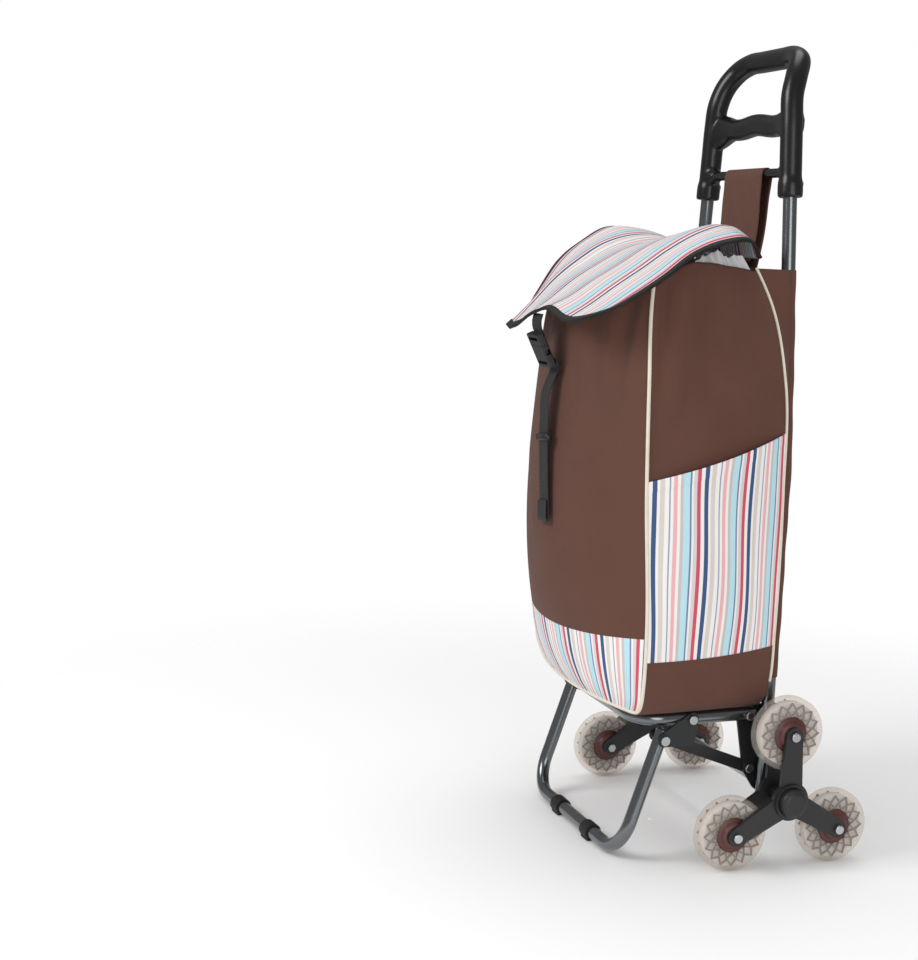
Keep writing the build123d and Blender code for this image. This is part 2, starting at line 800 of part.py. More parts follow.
def strap_top():
    # Behind the lower bar of the buckle's socket.
    behind = (buckle_thick + webbing_thick) / 2 + strap_room
    return buckle_place().from_local_coords(Vector(0, behind, slot_bar - socket_length))


def make_strap():
    hang = strap_top()
    behind = buckle_place().to_local_coords(hang).Y
    lead = buckle_place().from_local_coords(Vector(0, behind, -socket_length - strap_lead))
    path = Polyline(
        (hang.Y, hang.Z),
        (lead.Y, lead.Z),
        (strap_y(), hang.Z - webbing_width),
        (strap_y(), strap_end_z),
    )
    band = trace(path, webbing_thick)
    face = Plane((-webbing_width / 2, 0, 0), (0, 1, 0), (1, 0, 0)) * band
    strap = extrude(face, webbing_width)
    return Pos(hang.X, 0, hang.Z) * Rot(0, -strap_slant, 0) * Pos(0, 0, -hang.Z) * strap


def make_keeper():
    hang = strap_top()
    run = hang.Z - keeper_z
    room = Box(webbing_width + 2 * side_play, webbing_thick + 2 * side_play, 2 * keeper_height)
    rim = 2 * (side_play + keeper_wall)
    ring = Box(webbing_width + rim, webbing_thick + rim, keeper_height) - room
    at = Pos(hang.X, strap_y(), hang.Z) * Rot(0, -strap_slant, 0) * Pos(0, 0, -run)
    return at * ring


def group(*shapes):
    return Compound([solid for shape in shapes for solid in shape.solids()])


def both(shape):
    return [shape, mirrored(shape)]


def add_sides(parts, name, right):
    parts["right_" + name] = right
    parts["left_" + name] = mirrored(right)


def make_parts():
    parts = {}
    add_sides(parts, "upright", make_upright())
    add_sides(parts, "side_bracket", make_bracket())
    parts["upright_plugs"] = group(*both(make_plug()))
    parts["handle"] = make_handle()
    parts["cross_rod"] = rod_x(rod_d, -rod_end_x(), rod_end_x(), 0, rod_z)
    parts["handle_screws"] = group(*both(make_screw()))
    parts["axle"] = make_axle()
    parts["axle_spacers"] = group(*both(make_spacer()))
    parts["axle_caps"] = group(*both(make_cap()))
    parts["pivot_bolts"] = group(*both(make_fold_bolt()), *both(make_strut_bolt()))

    add_sides(parts, "outer_spider", make_outer_spider())
    add_sides(parts, "inner_spider", make_spider(inner_spider_x) + make_hub_sleeve())
    bolts = make_wheel_bolts()
    parts["right_wheel_bolts"] = group(*bolts)
    parts["left_wheel_bolts"] = group(*[mirrored(one) for one in bolts])
    hub = make_wheel_hub()
    tyre = make_tyre(hub)
    for side, x in (("right", wheel_x), ("left", -wheel_x)):
        for place, angle in zip(("top", "front", "rear"), arm_angles()):
            y, z = wheel_center(angle)
            parts[f"{side}_{place}_hub"] = Pos(x, y, z) * hub
            parts[f"{side}_{place}_tyre"] = Pos(x, y, z) * tyre

    parts["platform"] = make_platform()
    parts["base_board"] = make_board()
    parts["foot_frame"] = make_foot()
    parts["foot_pads"] = group(*both(make_pad()))
    parts["coupler_plates"] = group(*both(make_coupler()))
    foot_bolts = make_foot_bolts()
    parts["foot_bolts"] = group(*foot_bolts, *[mirrored(one) for one in foot_bolts])
    add_sides(parts, "strut", make_strut())

    front = below_rim(wall_panel("front_left", "front", "front_right"))
    seam = Plane.XY.offset(seam_z)
    parts["front_panel"] = split(front, bisect_by=seam, keep=Keep.TOP)
    parts["front_band"] = split(front, bisect_by=seam, keep=Keep.BOTTOM)
    parts["back_panel"] = below_rim(wall_panel("rear_right", None, "rear_left"))
    add_sides(parts, "side_panel", below_rim(wall_panel("front_right", "right", "rear_right")))
    front_piping = make_front_piping()
    rear_piping = make_rear_piping()
    add_sides(parts, "pocket", make_pocket() - front_piping - rear_piping)
    parts["bottom_panel"] = make_bottom()
    parts["front_piping"] = front_piping
    parts["rear_piping"] = group(*both(rear_piping))
    parts["lining_collar"] = make_collar()
    parts["carrier_panel"] = make_carrier()
    parts["hanging_loop"] = make_loop()
    parts["flap_seam"] = make_flap_seam()

    parts["flap"] = make_flap()
    parts["flap_binding"] = make_binding()
    parts["buckle_tab"] = make_tab()
    parts["buckle_tongue"] = make_buckle_tongue()
    parts["buckle_socket"] = make_buckle_socket()
    parts["buckle_strap"] = make_strap()
    parts["strap_keeper"] = make_keeper()
    return parts


def middle_y(parts):
    boxes = [shape.bounding_box() for shape in parts.values()]
    return (min(box.min.Y for box in boxes) + max(box.max.Y for box in boxes)) / 2


os.makedirs("parts", exist_ok=True)
all_parts = make_parts()
shift = Pos(0, -middle_y(all_parts), 0)
for name, shape in all_parts.items():
    export_step(shift * shape, f"parts/{name}.step")
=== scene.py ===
import json
import math

import bpy
import numpy as np
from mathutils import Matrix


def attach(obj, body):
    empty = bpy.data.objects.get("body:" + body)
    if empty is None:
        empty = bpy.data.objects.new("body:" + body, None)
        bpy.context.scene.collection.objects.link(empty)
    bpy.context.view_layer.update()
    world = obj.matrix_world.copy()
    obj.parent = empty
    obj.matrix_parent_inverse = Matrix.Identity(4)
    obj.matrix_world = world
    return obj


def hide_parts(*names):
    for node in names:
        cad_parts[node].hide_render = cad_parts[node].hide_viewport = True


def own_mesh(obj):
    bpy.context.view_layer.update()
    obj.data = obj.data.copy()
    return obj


# Shopping trolley with six stair-climbing wheels and a soft bag.
# Sizes below are in mm, seen from the wheel axle: x to the right, y to the back, z up from the floor.
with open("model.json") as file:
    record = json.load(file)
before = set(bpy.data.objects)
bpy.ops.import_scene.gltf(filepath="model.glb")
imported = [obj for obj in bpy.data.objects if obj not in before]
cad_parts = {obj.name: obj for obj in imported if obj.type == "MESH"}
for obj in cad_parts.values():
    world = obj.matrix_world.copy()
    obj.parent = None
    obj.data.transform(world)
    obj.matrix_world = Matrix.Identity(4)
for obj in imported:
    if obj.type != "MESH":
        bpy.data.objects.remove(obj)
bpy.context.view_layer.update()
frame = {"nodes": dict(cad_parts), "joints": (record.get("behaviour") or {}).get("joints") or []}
jointPlaces = {joint["name"]: 1000 * np.array(joint["pos_m"]) for joint in frame["joints"]}
axleY = jointPlaces["right_cluster_turn"][1]
bothSides = ((1, "right"), (-1, "left"))
mirrorX = (-1, 1, 1)


def toMetres(points):
    return (np.asarray(points, float) + (0.0, axleY, 0.0)) / 1000.0


def smooth(x, xs, ys):
    # cubic through the points (xs, ys), with slopes taken from the neighbours
    xs = np.asarray(xs, float)
    ys = np.asarray(ys, float)
    slope = np.gradient(ys, xs, axis=0)
    x = np.clip(np.asarray(x, float), xs[0], xs[-1])
    k = np.clip(np.searchsorted(xs, x, side="right") - 1, 0, len(xs) - 2)
    step = xs[k + 1] - xs[k]
    t = (x - xs[k]) / step
    if ys.ndim == 2:
        t = t[..., None]
        step = step[..., None]
    a = 2 * t**3 - 3 * t**2 + 1
    b = t**3 - 2 * t**2 + t
    c = 3 * t**2 - 2 * t**3
    d = t**3 - t**2
    return a * ys[k] + b * step * slope[k] + c * ys[k + 1] + d * step * slope[k + 1]


def fade(x):
    # 0 below 0, 1 above 1, and a soft step between
    x = np.clip(x, 0.0, 1.0)
    return x * x * (3 - 2 * x)


def ripple(times, share, shift=0.0):
    # sine wave that comes round a whole number of times while share goes from 0 to 1
    return np.sin(2 * np.pi * times * share + shift)


def creases(across, along, lines, runOut=40):
    # soft dents along slanted lines: depth * exp(-(distance / width)^2), fading out down their reach
    # and over a short run above their top
    total = np.zeros(np.broadcast(across, along).shape)
    for at, lean, width, depth, top, reach in lines:
        distance = across - at - lean * (top - along)
        ends = fade((along - top + reach) / reach) * fade((top + runOut - along) / runOut)
        total += depth * np.exp(-((distance / width) ** 2)) * ends
    return total


def lengthAlong(line):
    # distance from a line's first point to each of its points
    return np.concatenate([[0], np.cumsum(np.linalg.norm(np.diff(line, axis=0), axis=1))])


def stacked(*parts):
    # arrays brought to one shape, side by side along a new last axis
    return np.stack(np.broadcast_arrays(*parts), -1)


def fullTurn(count):
    # angles once round, as a row
    return np.linspace(0, 2 * np.pi, count, endpoint=False)[None, :]


def withMirror(path):
    # a line from the right to the middle plane, carried on as its mirror image
    return np.concatenate([path, (path[:-1] * mirrorX)[::-1]])


def gridFaces(rows, columns, wrapRows=False, wrapColumns=False, flip=False):
    i = np.arange(rows if wrapRows else rows - 1)[:, None]
    j = np.arange(columns if wrapColumns else columns - 1)[None, :]
    below = (i + 1) % rows
    beside = (j + 1) % columns
    corners = [i * columns + j, i * columns + beside, below * columns + beside, below * columns + j]
    return np.stack(corners[::-1] if flip else corners, -1).reshape(-1, 4)


def joinGrids(grids, **wraps):
    # several grids as one array of points and one of faces
    starts = np.cumsum([0] + [grid.shape[0] * grid.shape[1] for grid in grids])
    faces = [gridFaces(*grid.shape[:2], **wraps) + start for grid, start in zip(grids, starts)]
    return np.concatenate([grid.reshape(-1, 3) for grid in grids]), np.concatenate(faces)


def makeObject(name, points, faces, material, uv=None):
    mesh = bpy.data.meshes.new(name)
    mesh.from_pydata(toMetres(points).tolist(), [], faces.tolist())
    mesh.polygons.foreach_set("use_smooth", np.ones(len(faces), bool))
    if uv is not None:
        layer = mesh.uv_layers.new(name="cloth")
        corners = np.asarray(uv, float).reshape(-1, 2)[faces.reshape(-1)]
        layer.data.foreach_set("uv", (corners / 1000).reshape(-1))
    mesh.update()
    mesh.materials.append(material)
    thing = bpy.data.objects.new(name, mesh)
    bpy.context.scene.collection.objects.link(thing)
    return thing


def makePiece(name, points, faces, material, nodes=(), uv=None, body="frame"):
    # rides a body and stands for the CAD nodes named
    piece = makeObject(name, points, faces, material, uv)
    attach(piece, body)
    if nodes:
        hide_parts(*nodes)
    return piece


def makeGrid(name, points, material, nodes=(), uv=None, body="frame", **wraps):
    # quads over an array of points [row, column, xyz] in mm
    faces = gridFaces(*points.shape[:2], **wraps)
    return makePiece(name, points.reshape(-1, 3), faces, material, nodes, uv, body)


def thicken(piece, thickness, offset=-1.0):
    solid = piece.modifiers.new("thickness", "SOLIDIFY")
    solid.thickness = thickness / 1000
    solid.offset = offset
    solid.use_even_offset = True
    return piece


def roundEdges(piece, width):
    rounding = piece.modifiers.new("rounding", "BEVEL")
    rounding.width = width / 1000
    rounding.segments = 2


def settle(piece):
    # bake the modifiers into the piece's mesh
    deps = bpy.context.evaluated_depsgraph_get()
    piece.data = bpy.data.meshes.new_from_object(piece.evaluated_get(deps))
    piece.modifiers.clear()
    return piece


def tubeAlong(path, radius, sides=12):
    # circles across a line of points, each turned as little as possible from the last
    path = np.asarray(path, float)
    tangent = np.gradient(path, axis=0)
    tangent /= np.linalg.norm(tangent, axis=1)[:, None]
    start = np.array([0.0, 0.0, 1.0]) if abs(tangent[0][2]) < 0.9 else np.array([1.0, 0.0, 0.0])
    normals = [np.cross(tangent[0], start)]
    for t in tangent[1:]:
        n = normals[-1] - t * (normals[-1] @ t)
        normals.append(n / np.linalg.norm(n))
    normals = np.array(normals)
    normals /= np.linalg.norm(normals, axis=1)[:, None]
    across = np.cross(tangent, normals)
    angle = fullTurn(sides)[..., None]
    radius = np.broadcast_to(np.asarray(radius, float), len(path))[:, None, None]
    ring = normals[:, None] * np.cos(angle) + across[:, None] * np.sin(angle)
    return path[:, None] + radius * ring


def spun(x, radius, angle, centre):
    # points turned about a line along x through centre
    return stacked(centre[0] + x, centre[1] + radius * np.cos(angle), centre[2] + radius * np.sin(angle))


def lathe(profile, centre, sides=96):
    # (x, radius) profile turned all round
    return spun(profile[:, :1], profile[:, 1:], fullTurn(sides), centre)


print("helpers ready")


def colour(text):
    # sRGB hex to linear
    value = np.array([int(text[i:i + 2], 16) for i in (1, 3, 5)]) / 255
    linear = np.where(value <= 0.04045, value / 12.92, ((value + 0.055) / 1.055) ** 2.4)
    return (*linear.tolist(), 1.0)


def addNode(tree, kind, inputs=None, into=None, **settings):
    # inputs are values or links; into is the socket that takes the node's first output
    node = tree.nodes.new(kind)
    for key, value in settings.items():
        setattr(node, key, value)
    for key, value in (inputs or {}).items():
        if isinstance(value, bpy.types.NodeSocket):
            tree.links.new(value, node.inputs[key])
        else:
            node.inputs[key].default_value = value
    if into is not None:
        tree.links.new(node.outputs[0], into)
    return node


def newMaterial(name, **sockets):
    material = bpy.data.materials.new(name)
    material.use_nodes = True
    tree = material.node_tree
    shader = tree.nodes["Principled BSDF"]
    for key, value in sockets.items():
        shader.inputs[key.replace("_", " ")].default_value = value
    return material, tree, shader


def mottle(tree, coords, dark, light, scale, detail=3.0):
    # slow drift between two close colours
    noise = addNode(tree, "ShaderNodeTexNoise", {"Vector": coords, "Scale": scale, "Detail": detail})
    tones = {0: noise.outputs["Fac"], 6: colour(dark), 7: colour(light)}
    return addNode(tree, "ShaderNodeMix", tones, data_type="RGBA").outputs[2]


waveBands = 314.0  # a wave texture's scale is this over the spacing of its bands in mm


def clothMaterial(name, thread, relief, **sockets):
    # plain weave: bumps where warp and weft cross; thread is the repeat in mm
    material, tree, shader = newMaterial(name, **sockets)
    uv = addNode(tree, "ShaderNodeUVMap", uv_map="cloth").outputs["UV"]
    weave = {"Vector": uv, "Scale": waveBands / thread, "Distortion": 0.4}
    warp = addNode(tree, "ShaderNodeTexWave", weave, bands_direction="X").outputs["Fac"]
    weft = addNode(tree, "ShaderNodeTexWave", weave, bands_direction="Y").outputs["Fac"]
    cross = addNode(tree, "ShaderNodeMath", {0: warp, 1: weft}, operation="MULTIPLY").outputs[0]
    slub = addNode(tree, "ShaderNodeTexNoise", {"Vector": uv, "Scale": 260.0, "Detail": 4.0}).outputs["Fac"]
    height = addNode(tree, "ShaderNodeMath", {0: cross, 1: slub}, operation="ADD").outputs[0]
    addNode(tree, "ShaderNodeBump", {"Height": height, "Strength": relief, "Distance": 0.0004},
            shader.inputs["Normal"])
    return material, tree, shader, uv, cross


# brown polyester: matt, a little lighter at grazing angles, threads just visible
# (the real thread is 0.4 mm; drawn three times as coarse so that it shows)
clothThread = 1.2
brownCloth, tree, shader, uv, cross = clothMaterial(
    "brown polyester canvas", clothThread, 0.5, Roughness=0.75, Specular_IOR_Level=0.35,
    Sheen_Weight=0.06, Sheen_Roughness=0.4)
drift = mottle(tree, uv, "#56362b", "#634034", 14.0)
fine = addNode(tree, "ShaderNodeMath", {0: cross, 1: 0.22}, operation="MULTIPLY").outputs[0]
threads = addNode(tree, "ShaderNodeMix", {0: fine, 6: drift, 7: colour("#724d41")}, data_type="RGBA")
tree.links.new(threads.outputs[2], shader.inputs["Base Color"])

# printed stripe cloth: (width in mm, colour) across one repeat
stripes = [
    (4.4, "#cf4a61"), (4.4, "#efebe9"), (5.0, "#31507f"), (3.0, "#efebe9"), (5.4, "#d6cec6"),
    (4.8, "#efebe9"), (1.6, "#8f9cb4"), (3.4, "#efebe9"), (4.2, "#eab0b3"), (3.6, "#efebe9"),
    (3.4, "#c9bfba"), (7.4, "#b6dee9"), (2.2, "#6f83a6"), (2.4, "#efebe9"), (4.2, "#d4cfce"),
]


def stripeMaterial(name, start, printToneAndShade):
    # start shifts the repeat, in mm; the last argument darkens the whole print: slightly on the band and
    # pockets, and much more on the flap, where the darkening is painted shade
    material, tree, shader, uv, _ = clothMaterial(name, clothThread, 0.4, Roughness=0.6)
    repeat = sum(width for width, _ in stripes)
    across = addNode(tree, "ShaderNodeSeparateXYZ", {0: uv}).outputs["X"]
    counted = {0: across, 1: 1000 / repeat, 2: start / repeat}
    turn = addNode(tree, "ShaderNodeMath", counted, operation="MULTIPLY_ADD").outputs[0]
    part = addNode(tree, "ShaderNodeMath", {0: turn}, operation="FRACT").outputs[0]
    ramp = addNode(tree, "ShaderNodeValToRGB", {0: part})
    stops = ramp.color_ramp.elements
    ramp.color_ramp.interpolation = "CONSTANT"
    at = 0.0
    for k, (width, tone) in enumerate(stripes):
        stop = stops[k] if k < 1 else stops.new(at)
        stop.position = at
        stop.color = colour(tone)
        at += width / repeat
    stops.remove(stops[-1])
    shade = addNode(tree, "ShaderNodeTexNoise", {"Vector": uv, "Scale": 16.0, "Detail": 3.0}).outputs["Fac"]
    tone = addNode(tree, "ShaderNodeMapRange", {0: shade, 3: printToneAndShade - 0.05, 4: printToneAndShade + 0.05}).outputs[0]
    mixed = addNode(tree, "ShaderNodeMix", {0: 1.0, 6: ramp.outputs["Color"], 7: tone},
                    data_type="RGBA", blend_type="MULTIPLY")
    tree.links.new(mixed.outputs[2], shader.inputs["Base Color"])
    return material


# the same print on the band, the flap and the pockets, each cut from its own place in the repeat; the flap's
# print is darkened as painted shade
stripedCloth = stripeMaterial("striped woven polyester", 20.0, 0.98)
# painted shade: the flap's print is darkened to 0.84, against 0.98 on the band and pockets, to stand in for
# less light on the flap
stripedFlapPaintedShade = stripeMaterial("striped woven polyester, flap, painted shade", 33.0, 0.84)
stripedPocket = stripeMaterial("striped woven polyester, pockets", 36.0, 0.98)

# piping: ivory twill drawn over a cord, with ridges 1.5 mm apart
pipingCloth, tree, shader = newMaterial("ivory twill piping", Roughness=0.6)
coords = addNode(tree, "ShaderNodeTexCoord").outputs["Object"]
tree.links.new(mottle(tree, coords, "#cfc7b6", "#e6dfd0", 60.0), shader.inputs["Base Color"])
twill = addNode(tree, "ShaderNodeTexWave", {"Vector": coords, "Scale": 210.0}, bands_direction="DIAGONAL")
addNode(tree, "ShaderNodeBump", {"Height": twill.outputs["Fac"], "Strength": 0.35, "Distance": 0.0003},
        shader.inputs["Normal"])

# lining: white coated cloth with a silvery shine and small crumples, about 14 mm across
liningCloth, tree, shader = newMaterial("white coated lining", Roughness=0.38, Specular_IOR_Level=0.6)
coords = addNode(tree, "ShaderNodeTexCoord").outputs["Object"]
tree.links.new(mottle(tree, coords, "#cfcfd3", "#efeff1", 40.0), shader.inputs["Base Color"])
crumple = addNode(tree, "ShaderNodeTexVoronoi", {"Vector": coords, "Scale": 70.0}, feature="SMOOTH_F1")
addNode(tree, "ShaderNodeBump", {"Height": crumple.outputs["Distance"], "Strength": 0.6, "Distance": 0.004},
        shader.inputs["Normal"])


def ribbedMaterial(name, dark, light, rib, relief, rough):
    # narrow woven tape: ribs across its length, from the tape's own uv (u across, v along)
    material, tree, shader = newMaterial(name, Roughness=rough)
    uv = addNode(tree, "ShaderNodeUVMap", uv_map="cloth").outputs["UV"]
    along = {"Vector": uv, "Scale": waveBands / rib, "Distortion": 0.3}
    ribs = addNode(tree, "ShaderNodeTexWave", along, bands_direction="Y").outputs["Fac"]
    across = {"Vector": uv, "Scale": waveBands / (2 * rib)}
    warp = addNode(tree, "ShaderNodeTexWave", across, bands_direction="X").outputs["Fac"]
    both = addNode(tree, "ShaderNodeMath", {0: ribs, 1: warp}, operation="MULTIPLY").outputs[0]
    tone = addNode(tree, "ShaderNodeMix", {0: both, 6: colour(dark), 7: colour(light)}, data_type="RGBA")
    tree.links.new(tone.outputs[2], shader.inputs["Base Color"])
    addNode(tree, "ShaderNodeBump", {"Height": both, "Strength": relief, "Distance": 0.0006},
            shader.inputs["Normal"])
    return material


# webbing: charcoal polypropylene, ribs of about 2 mm; binding: black grosgrain tape, finer ribs
webbing = ribbedMaterial("charcoal webbing", "#1e1e20", "#3c3c40", 2.0, 0.7, 0.6)
bindingTape = ribbedMaterial("black grosgrain binding", "#0f0e0f", "#252325", 1.4, 0.5, 0.65)


def mouldedMaterial(name, dark, light, rough, grain, relief, **sockets):
    # moulded or coated surface: slow tone drift and a fine even grain; grain is per metre
    material, tree, shader = newMaterial(name, **sockets)
    coords = addNode(tree, "ShaderNodeTexCoord").outputs["Object"]
    tree.links.new(mottle(tree, coords, dark, light, 9.0), shader.inputs["Base Color"])
    noise = addNode(tree, "ShaderNodeTexNoise", {"Vector": coords, "Scale": grain, "Detail": 3.0})
    noise = noise.outputs["Fac"]
    addNode(tree, "ShaderNodeMapRange", {0: noise, 3: rough - 0.07, 4: rough + 0.07},
            shader.inputs["Roughness"])
    addNode(tree, "ShaderNodeBump", {"Height": noise, "Strength": relief, "Distance": 0.0003},
            shader.inputs["Normal"])
    return material


# gunmetal lacquer: dark grey metallic paint with sharp long highlights
gunmetal = mouldedMaterial("gunmetal lacquered tube", "#6a6e71", "#7d8184", 0.22, 900.0, 0.05,
                           Metallic=0.95, Coat_Weight=0.35, Coat_Roughness=0.12)
# black enamelled plate: flat bars of the folding stand
blackSteel = mouldedMaterial("black enamelled steel", "#232425", "#303132", 0.38, 700.0, 0.12, Metallic=0.3)
# zinc plate: pale, slightly clouded metal of bolts and nuts
zinc = mouldedMaterial("zinc plated steel", "#a9abad", "#cfd1d2", 0.3, 500.0, 0.1, Metallic=1.0)
# satin black grip: soft wide highlights
handlePlastic = mouldedMaterial("satin black grip plastic", "#0c0c0e", "#131315", 0.3, 1400.0, 0.1)
# black polypropylene of the wheel arms: greyer, with a fine spark-eroded grain
blackPlastic = mouldedMaterial("black polypropylene", "#1a1a1b", "#242425", 0.46, 1600.0, 0.25)
# buckle acetal: a touch glossier
bucklePlastic = mouldedMaterial("black acetal buckle", "#1b1b1d", "#262628", 0.36, 1200.0, 0.1)
# foot pads: dull black rubber
blackRubber = mouldedMaterial("black rubber", "#151515", "#202020", 0.7, 900.0, 0.3)
# hub: dark brown moulded plastic; lattice: greyer and paler, seen through the clear tyre
hubPlastic = mouldedMaterial("dark brown hub plastic", "#4c2823", "#5e332c", 0.4, 1100.0, 0.15)
latticePlastic = mouldedMaterial("grey brown lattice plastic", "#65564d", "#75665c", 0.45, 1100.0, 0.15)
# web: pale filling behind the lattice
webPlastic = mouldedMaterial("pale milky web plastic", "#d0cac6", "#dfdbd8", 0.5, 1100.0, 0.1)
# cross rod: dark chrome, a clear mirror
rodSteel = mouldedMaterial("dark chromed rod", "#3a3c3e", "#4a4d4f", 0.22, 600.0, 0.05, Metallic=0.9)
# base board: dull brown pressed fibre
board = mouldedMaterial("hardboard", "#6d5540", "#7d6550", 0.7, 300.0, 0.3)
# tyre: clear soft vinyl, faintly milky, so the lattice shows through
tyreVinyl, tree, shader = newMaterial("clear milky vinyl tyre", Roughness=0.2)
coords = addNode(tree, "ShaderNodeTexCoord").outputs["Object"]
tree.links.new(mottle(tree, coords, "#d9d2ca", "#ece7e1", 25.0), shader.inputs["Base Color"])
clear = addNode(tree, "ShaderNodeBsdfTransparent", {"Color": colour("#f6f2ee")})
addNode(tree, "ShaderNodeMixShader", {0: 0.2, 1: clear.outputs[0], 2: shader.outputs[0]},
        tree.nodes["Material Output"].inputs["Surface"])

nodeMaterials = {
    gunmetal: ["right_upright", "left_upright", "platform", "foot_frame"],
    blackSteel: ["right_side_bracket", "left_side_bracket", "coupler_plates", "right_strut", "left_strut"],
    zinc: ["axle", "pivot_bolts", "foot_bolts", "right_wheel_bolts", "left_wheel_bolts", "handle_screws"],
    rodSteel: ["cross_rod"],
    blackPlastic: ["upright_plugs", "axle_spacers", "axle_caps", "right_outer_spider", "left_outer_spider",
                   "right_inner_spider", "left_inner_spider"],
    bucklePlastic: ["buckle_tongue", "buckle_socket"],
    blackRubber: ["foot_pads"],
    board: ["base_board"],
    brownCloth: ["flap_seam"],
}
for material, names in nodeMaterials.items():
    for name in names:
        mesh = frame["nodes"][name].data
        mesh.materials.clear()
        mesh.materials.append(material)
print("materials ready")

# The bag. Each row: height above the floor of the bag, then how far the sides, front and back are
# drawn in there, then how far the sides and the front belly out. Grids are (columns, rows).
bag = {
    "rows": [
        (0, 22, 16, 1, 3, 20), (16, 8, 13, 0, 4, 30), (36, 3, 12, 0, 8, 40), (95, 0, 11, 0, 15, 56),
        (260, 2, 2, 0, 16, 60), (380, 9, 1, 2, 14, 47), (470, 28, 8, 16, 11, 44), (535, 46, 22, 44, 8, 30),
    ],
    "floor": 180.3, "halfWidth": 164.0, "front": -192.0, "rear": -12.5, "rearInset": 12.0, "cloth": 1.6,
    "frontGrid": (141, 151), "bandGrid": (141, 45), "sideGrid": (101, 181), "pocketGrid": (101, 91),
    "backGrid": (61, 121), "bottomGrid": (61, 41),
    "bandTop": (281.0, 263.0, 274.0),  # seam over the band at the left, middle and right
    "rim": [(-192, 664), (-165, 683), (-140, 693), (-110, 695), (-70, 692), (-40, 690), (-12, 686)],  # y, z
    "rimDip": 14.0,  # sag of the front's rim
    "rimBack": 27.0,  # the back's rim is level with the sides' this far ahead of it
    "held": 0.1,  # share of a wall beside its seams that stays flat
    "swayUp": 31.0, "swayAcross": 26.0, "bandSway": 0.8, "pocketSway": 1.1,  # bends of the printed stripes
    "pocketBottom": (247.0, 258.0), "pocketTop": (452.0, 505.0),  # at the front and at the back
    "pocketRoom": 8.0, "pocketLift": 1.2, "hemLift": 0.7, "hemDepth": 14.0, "hemStep": 2.0,
    "foldTop": 645.0, "foldKeep": 0.68,  # height that stays put when the bag flattens, and share that is left
    # at, lean, width, depth, top, reach
    "frontCreases": [
        (112, 0.05, 8, -4.0, 640, 190), (92, 0.1, 11, 3.0, 640, 150), (132, 0.0, 7, 3.0, 640, 210),
        (66, 0.12, 13, -3.0, 636, 120), (-108, -0.04, 9, -4.0, 640, 200), (-86, -0.1, 12, 3.0, 636, 150),
        (-130, 0.0, 8, 3.0, 640, 220), (-52, -0.1, 14, -2.5, 630, 110), (20, 0.1, 26, -2.0, 600, 320),
        (-70, 0.5, 18, -1.6, 420, 150), (90, -0.5, 18, -1.6, 400, 130),
    ],
    "sideCreases": [
        (-170, -0.12, 7, -4.0, 655, 210), (-150, -0.1, 10, 3.0, 660, 180), (-126, 0.02, 11, -3.5, 668, 170),
        (-98, 0.08, 12, 2.5, 680, 150), (-70, 0.12, 12, -3.0, 690, 170), (-46, 0.2, 9, 2.5, 695, 150),
        (-110, 0.6, 20, -2.0, 560, 120), (-60, 0.7, 18, -1.8, 600, 120),
    ],
}
bagTable = np.array(bag["rows"], float)


def bagRow(z):
    # corner and belly values at height z: front x, front y, rear x, rear y, side belly, front belly
    h = np.asarray(z, float) - bag["floor"]
    side, front, rear, sideBelly, frontBelly = np.moveaxis(smooth(h, bagTable[:, 0], bagTable[:, 1:]), -1, 0)
    frontX = bag["halfWidth"] - side
    return frontX, bag["front"] + front, frontX - bag["rearInset"], bag["rear"] - rear, sideBelly, frontBelly


def rimZ(y):
    rim = np.array(bag["rim"], float)
    return smooth(y, rim[:, 0], rim[:, 1])


def frontLine(s, corner, belly):
    # y across the front: s from -1 at the left corner to 1 at the right; y = corner - belly * (1 - s^2)
    return corner - belly * (1 - s * s)


def sideLine(t, front, rear, belly):
    # x along a side: t from 0 at the front corner to 1 at the back; x = line + belly * 4 t (1 - t)
    return front + (rear - front) * t + belly * 4 * t * (1 - t)


def frontWall(s, z):
    # the front's line at each height, plus the dents
    frontX, frontY, _, _, _, belly = bagRow(z)
    x = s * frontX
    free = fade((1 - np.abs(s)) / bag["held"])
    y = frontLine(s, frontY, belly) - free * creases(x, z, bag["frontCreases"])
    return stacked(x, y, z)


def sideWall(t, z, side, out=0.0):
    # the side's line at each height, plus the dents and what a pocket stands out
    frontX, frontY, rearX, rearY, belly, _ = bagRow(z)
    y = frontY + (rearY - frontY) * t
    free = fade(t / bag["held"]) * fade((1 - t) / bag["held"])
    dents = free * creases(y, z, bag["sideCreases"])
    x = sideLine(t, frontX, rearX, belly) + dents + out
    return stacked(side * x, y, z)


def wallGrid(columns, rows, low, high):
    # even steps across, and from low to high up each column
    s = np.linspace(0, 1, columns)[None, :]
    v = np.linspace(0, 1, rows)[:, None]
    return s + 0 * v, low + (high - low) * v + 0 * s


def clothUv(points, sway=0.0):
    # u is the length across the wall, v the height, both in mm; sway bends the threads a little
    step = np.linalg.norm(np.diff(points, axis=1), axis=2)
    u = np.concatenate([np.zeros((len(points), 1)), np.cumsum(step, 1)], 1)
    middle = u[len(u) // 2]
    u = middle[None, :] + 0 * u - middle[-1] / 2
    u = u + sway * np.sin(points[..., 2] / bag["swayUp"] + u / bag["swayAcross"])
    return stacked(u, points[..., 2])


def gathersUp(piece):
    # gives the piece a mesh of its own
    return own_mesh(piece)


bagPieces = []


def bagGrid(*grid, **wraps):
    piece = makeGrid(*grid, **wraps)
    bagPieces.append(piece)
    return piece


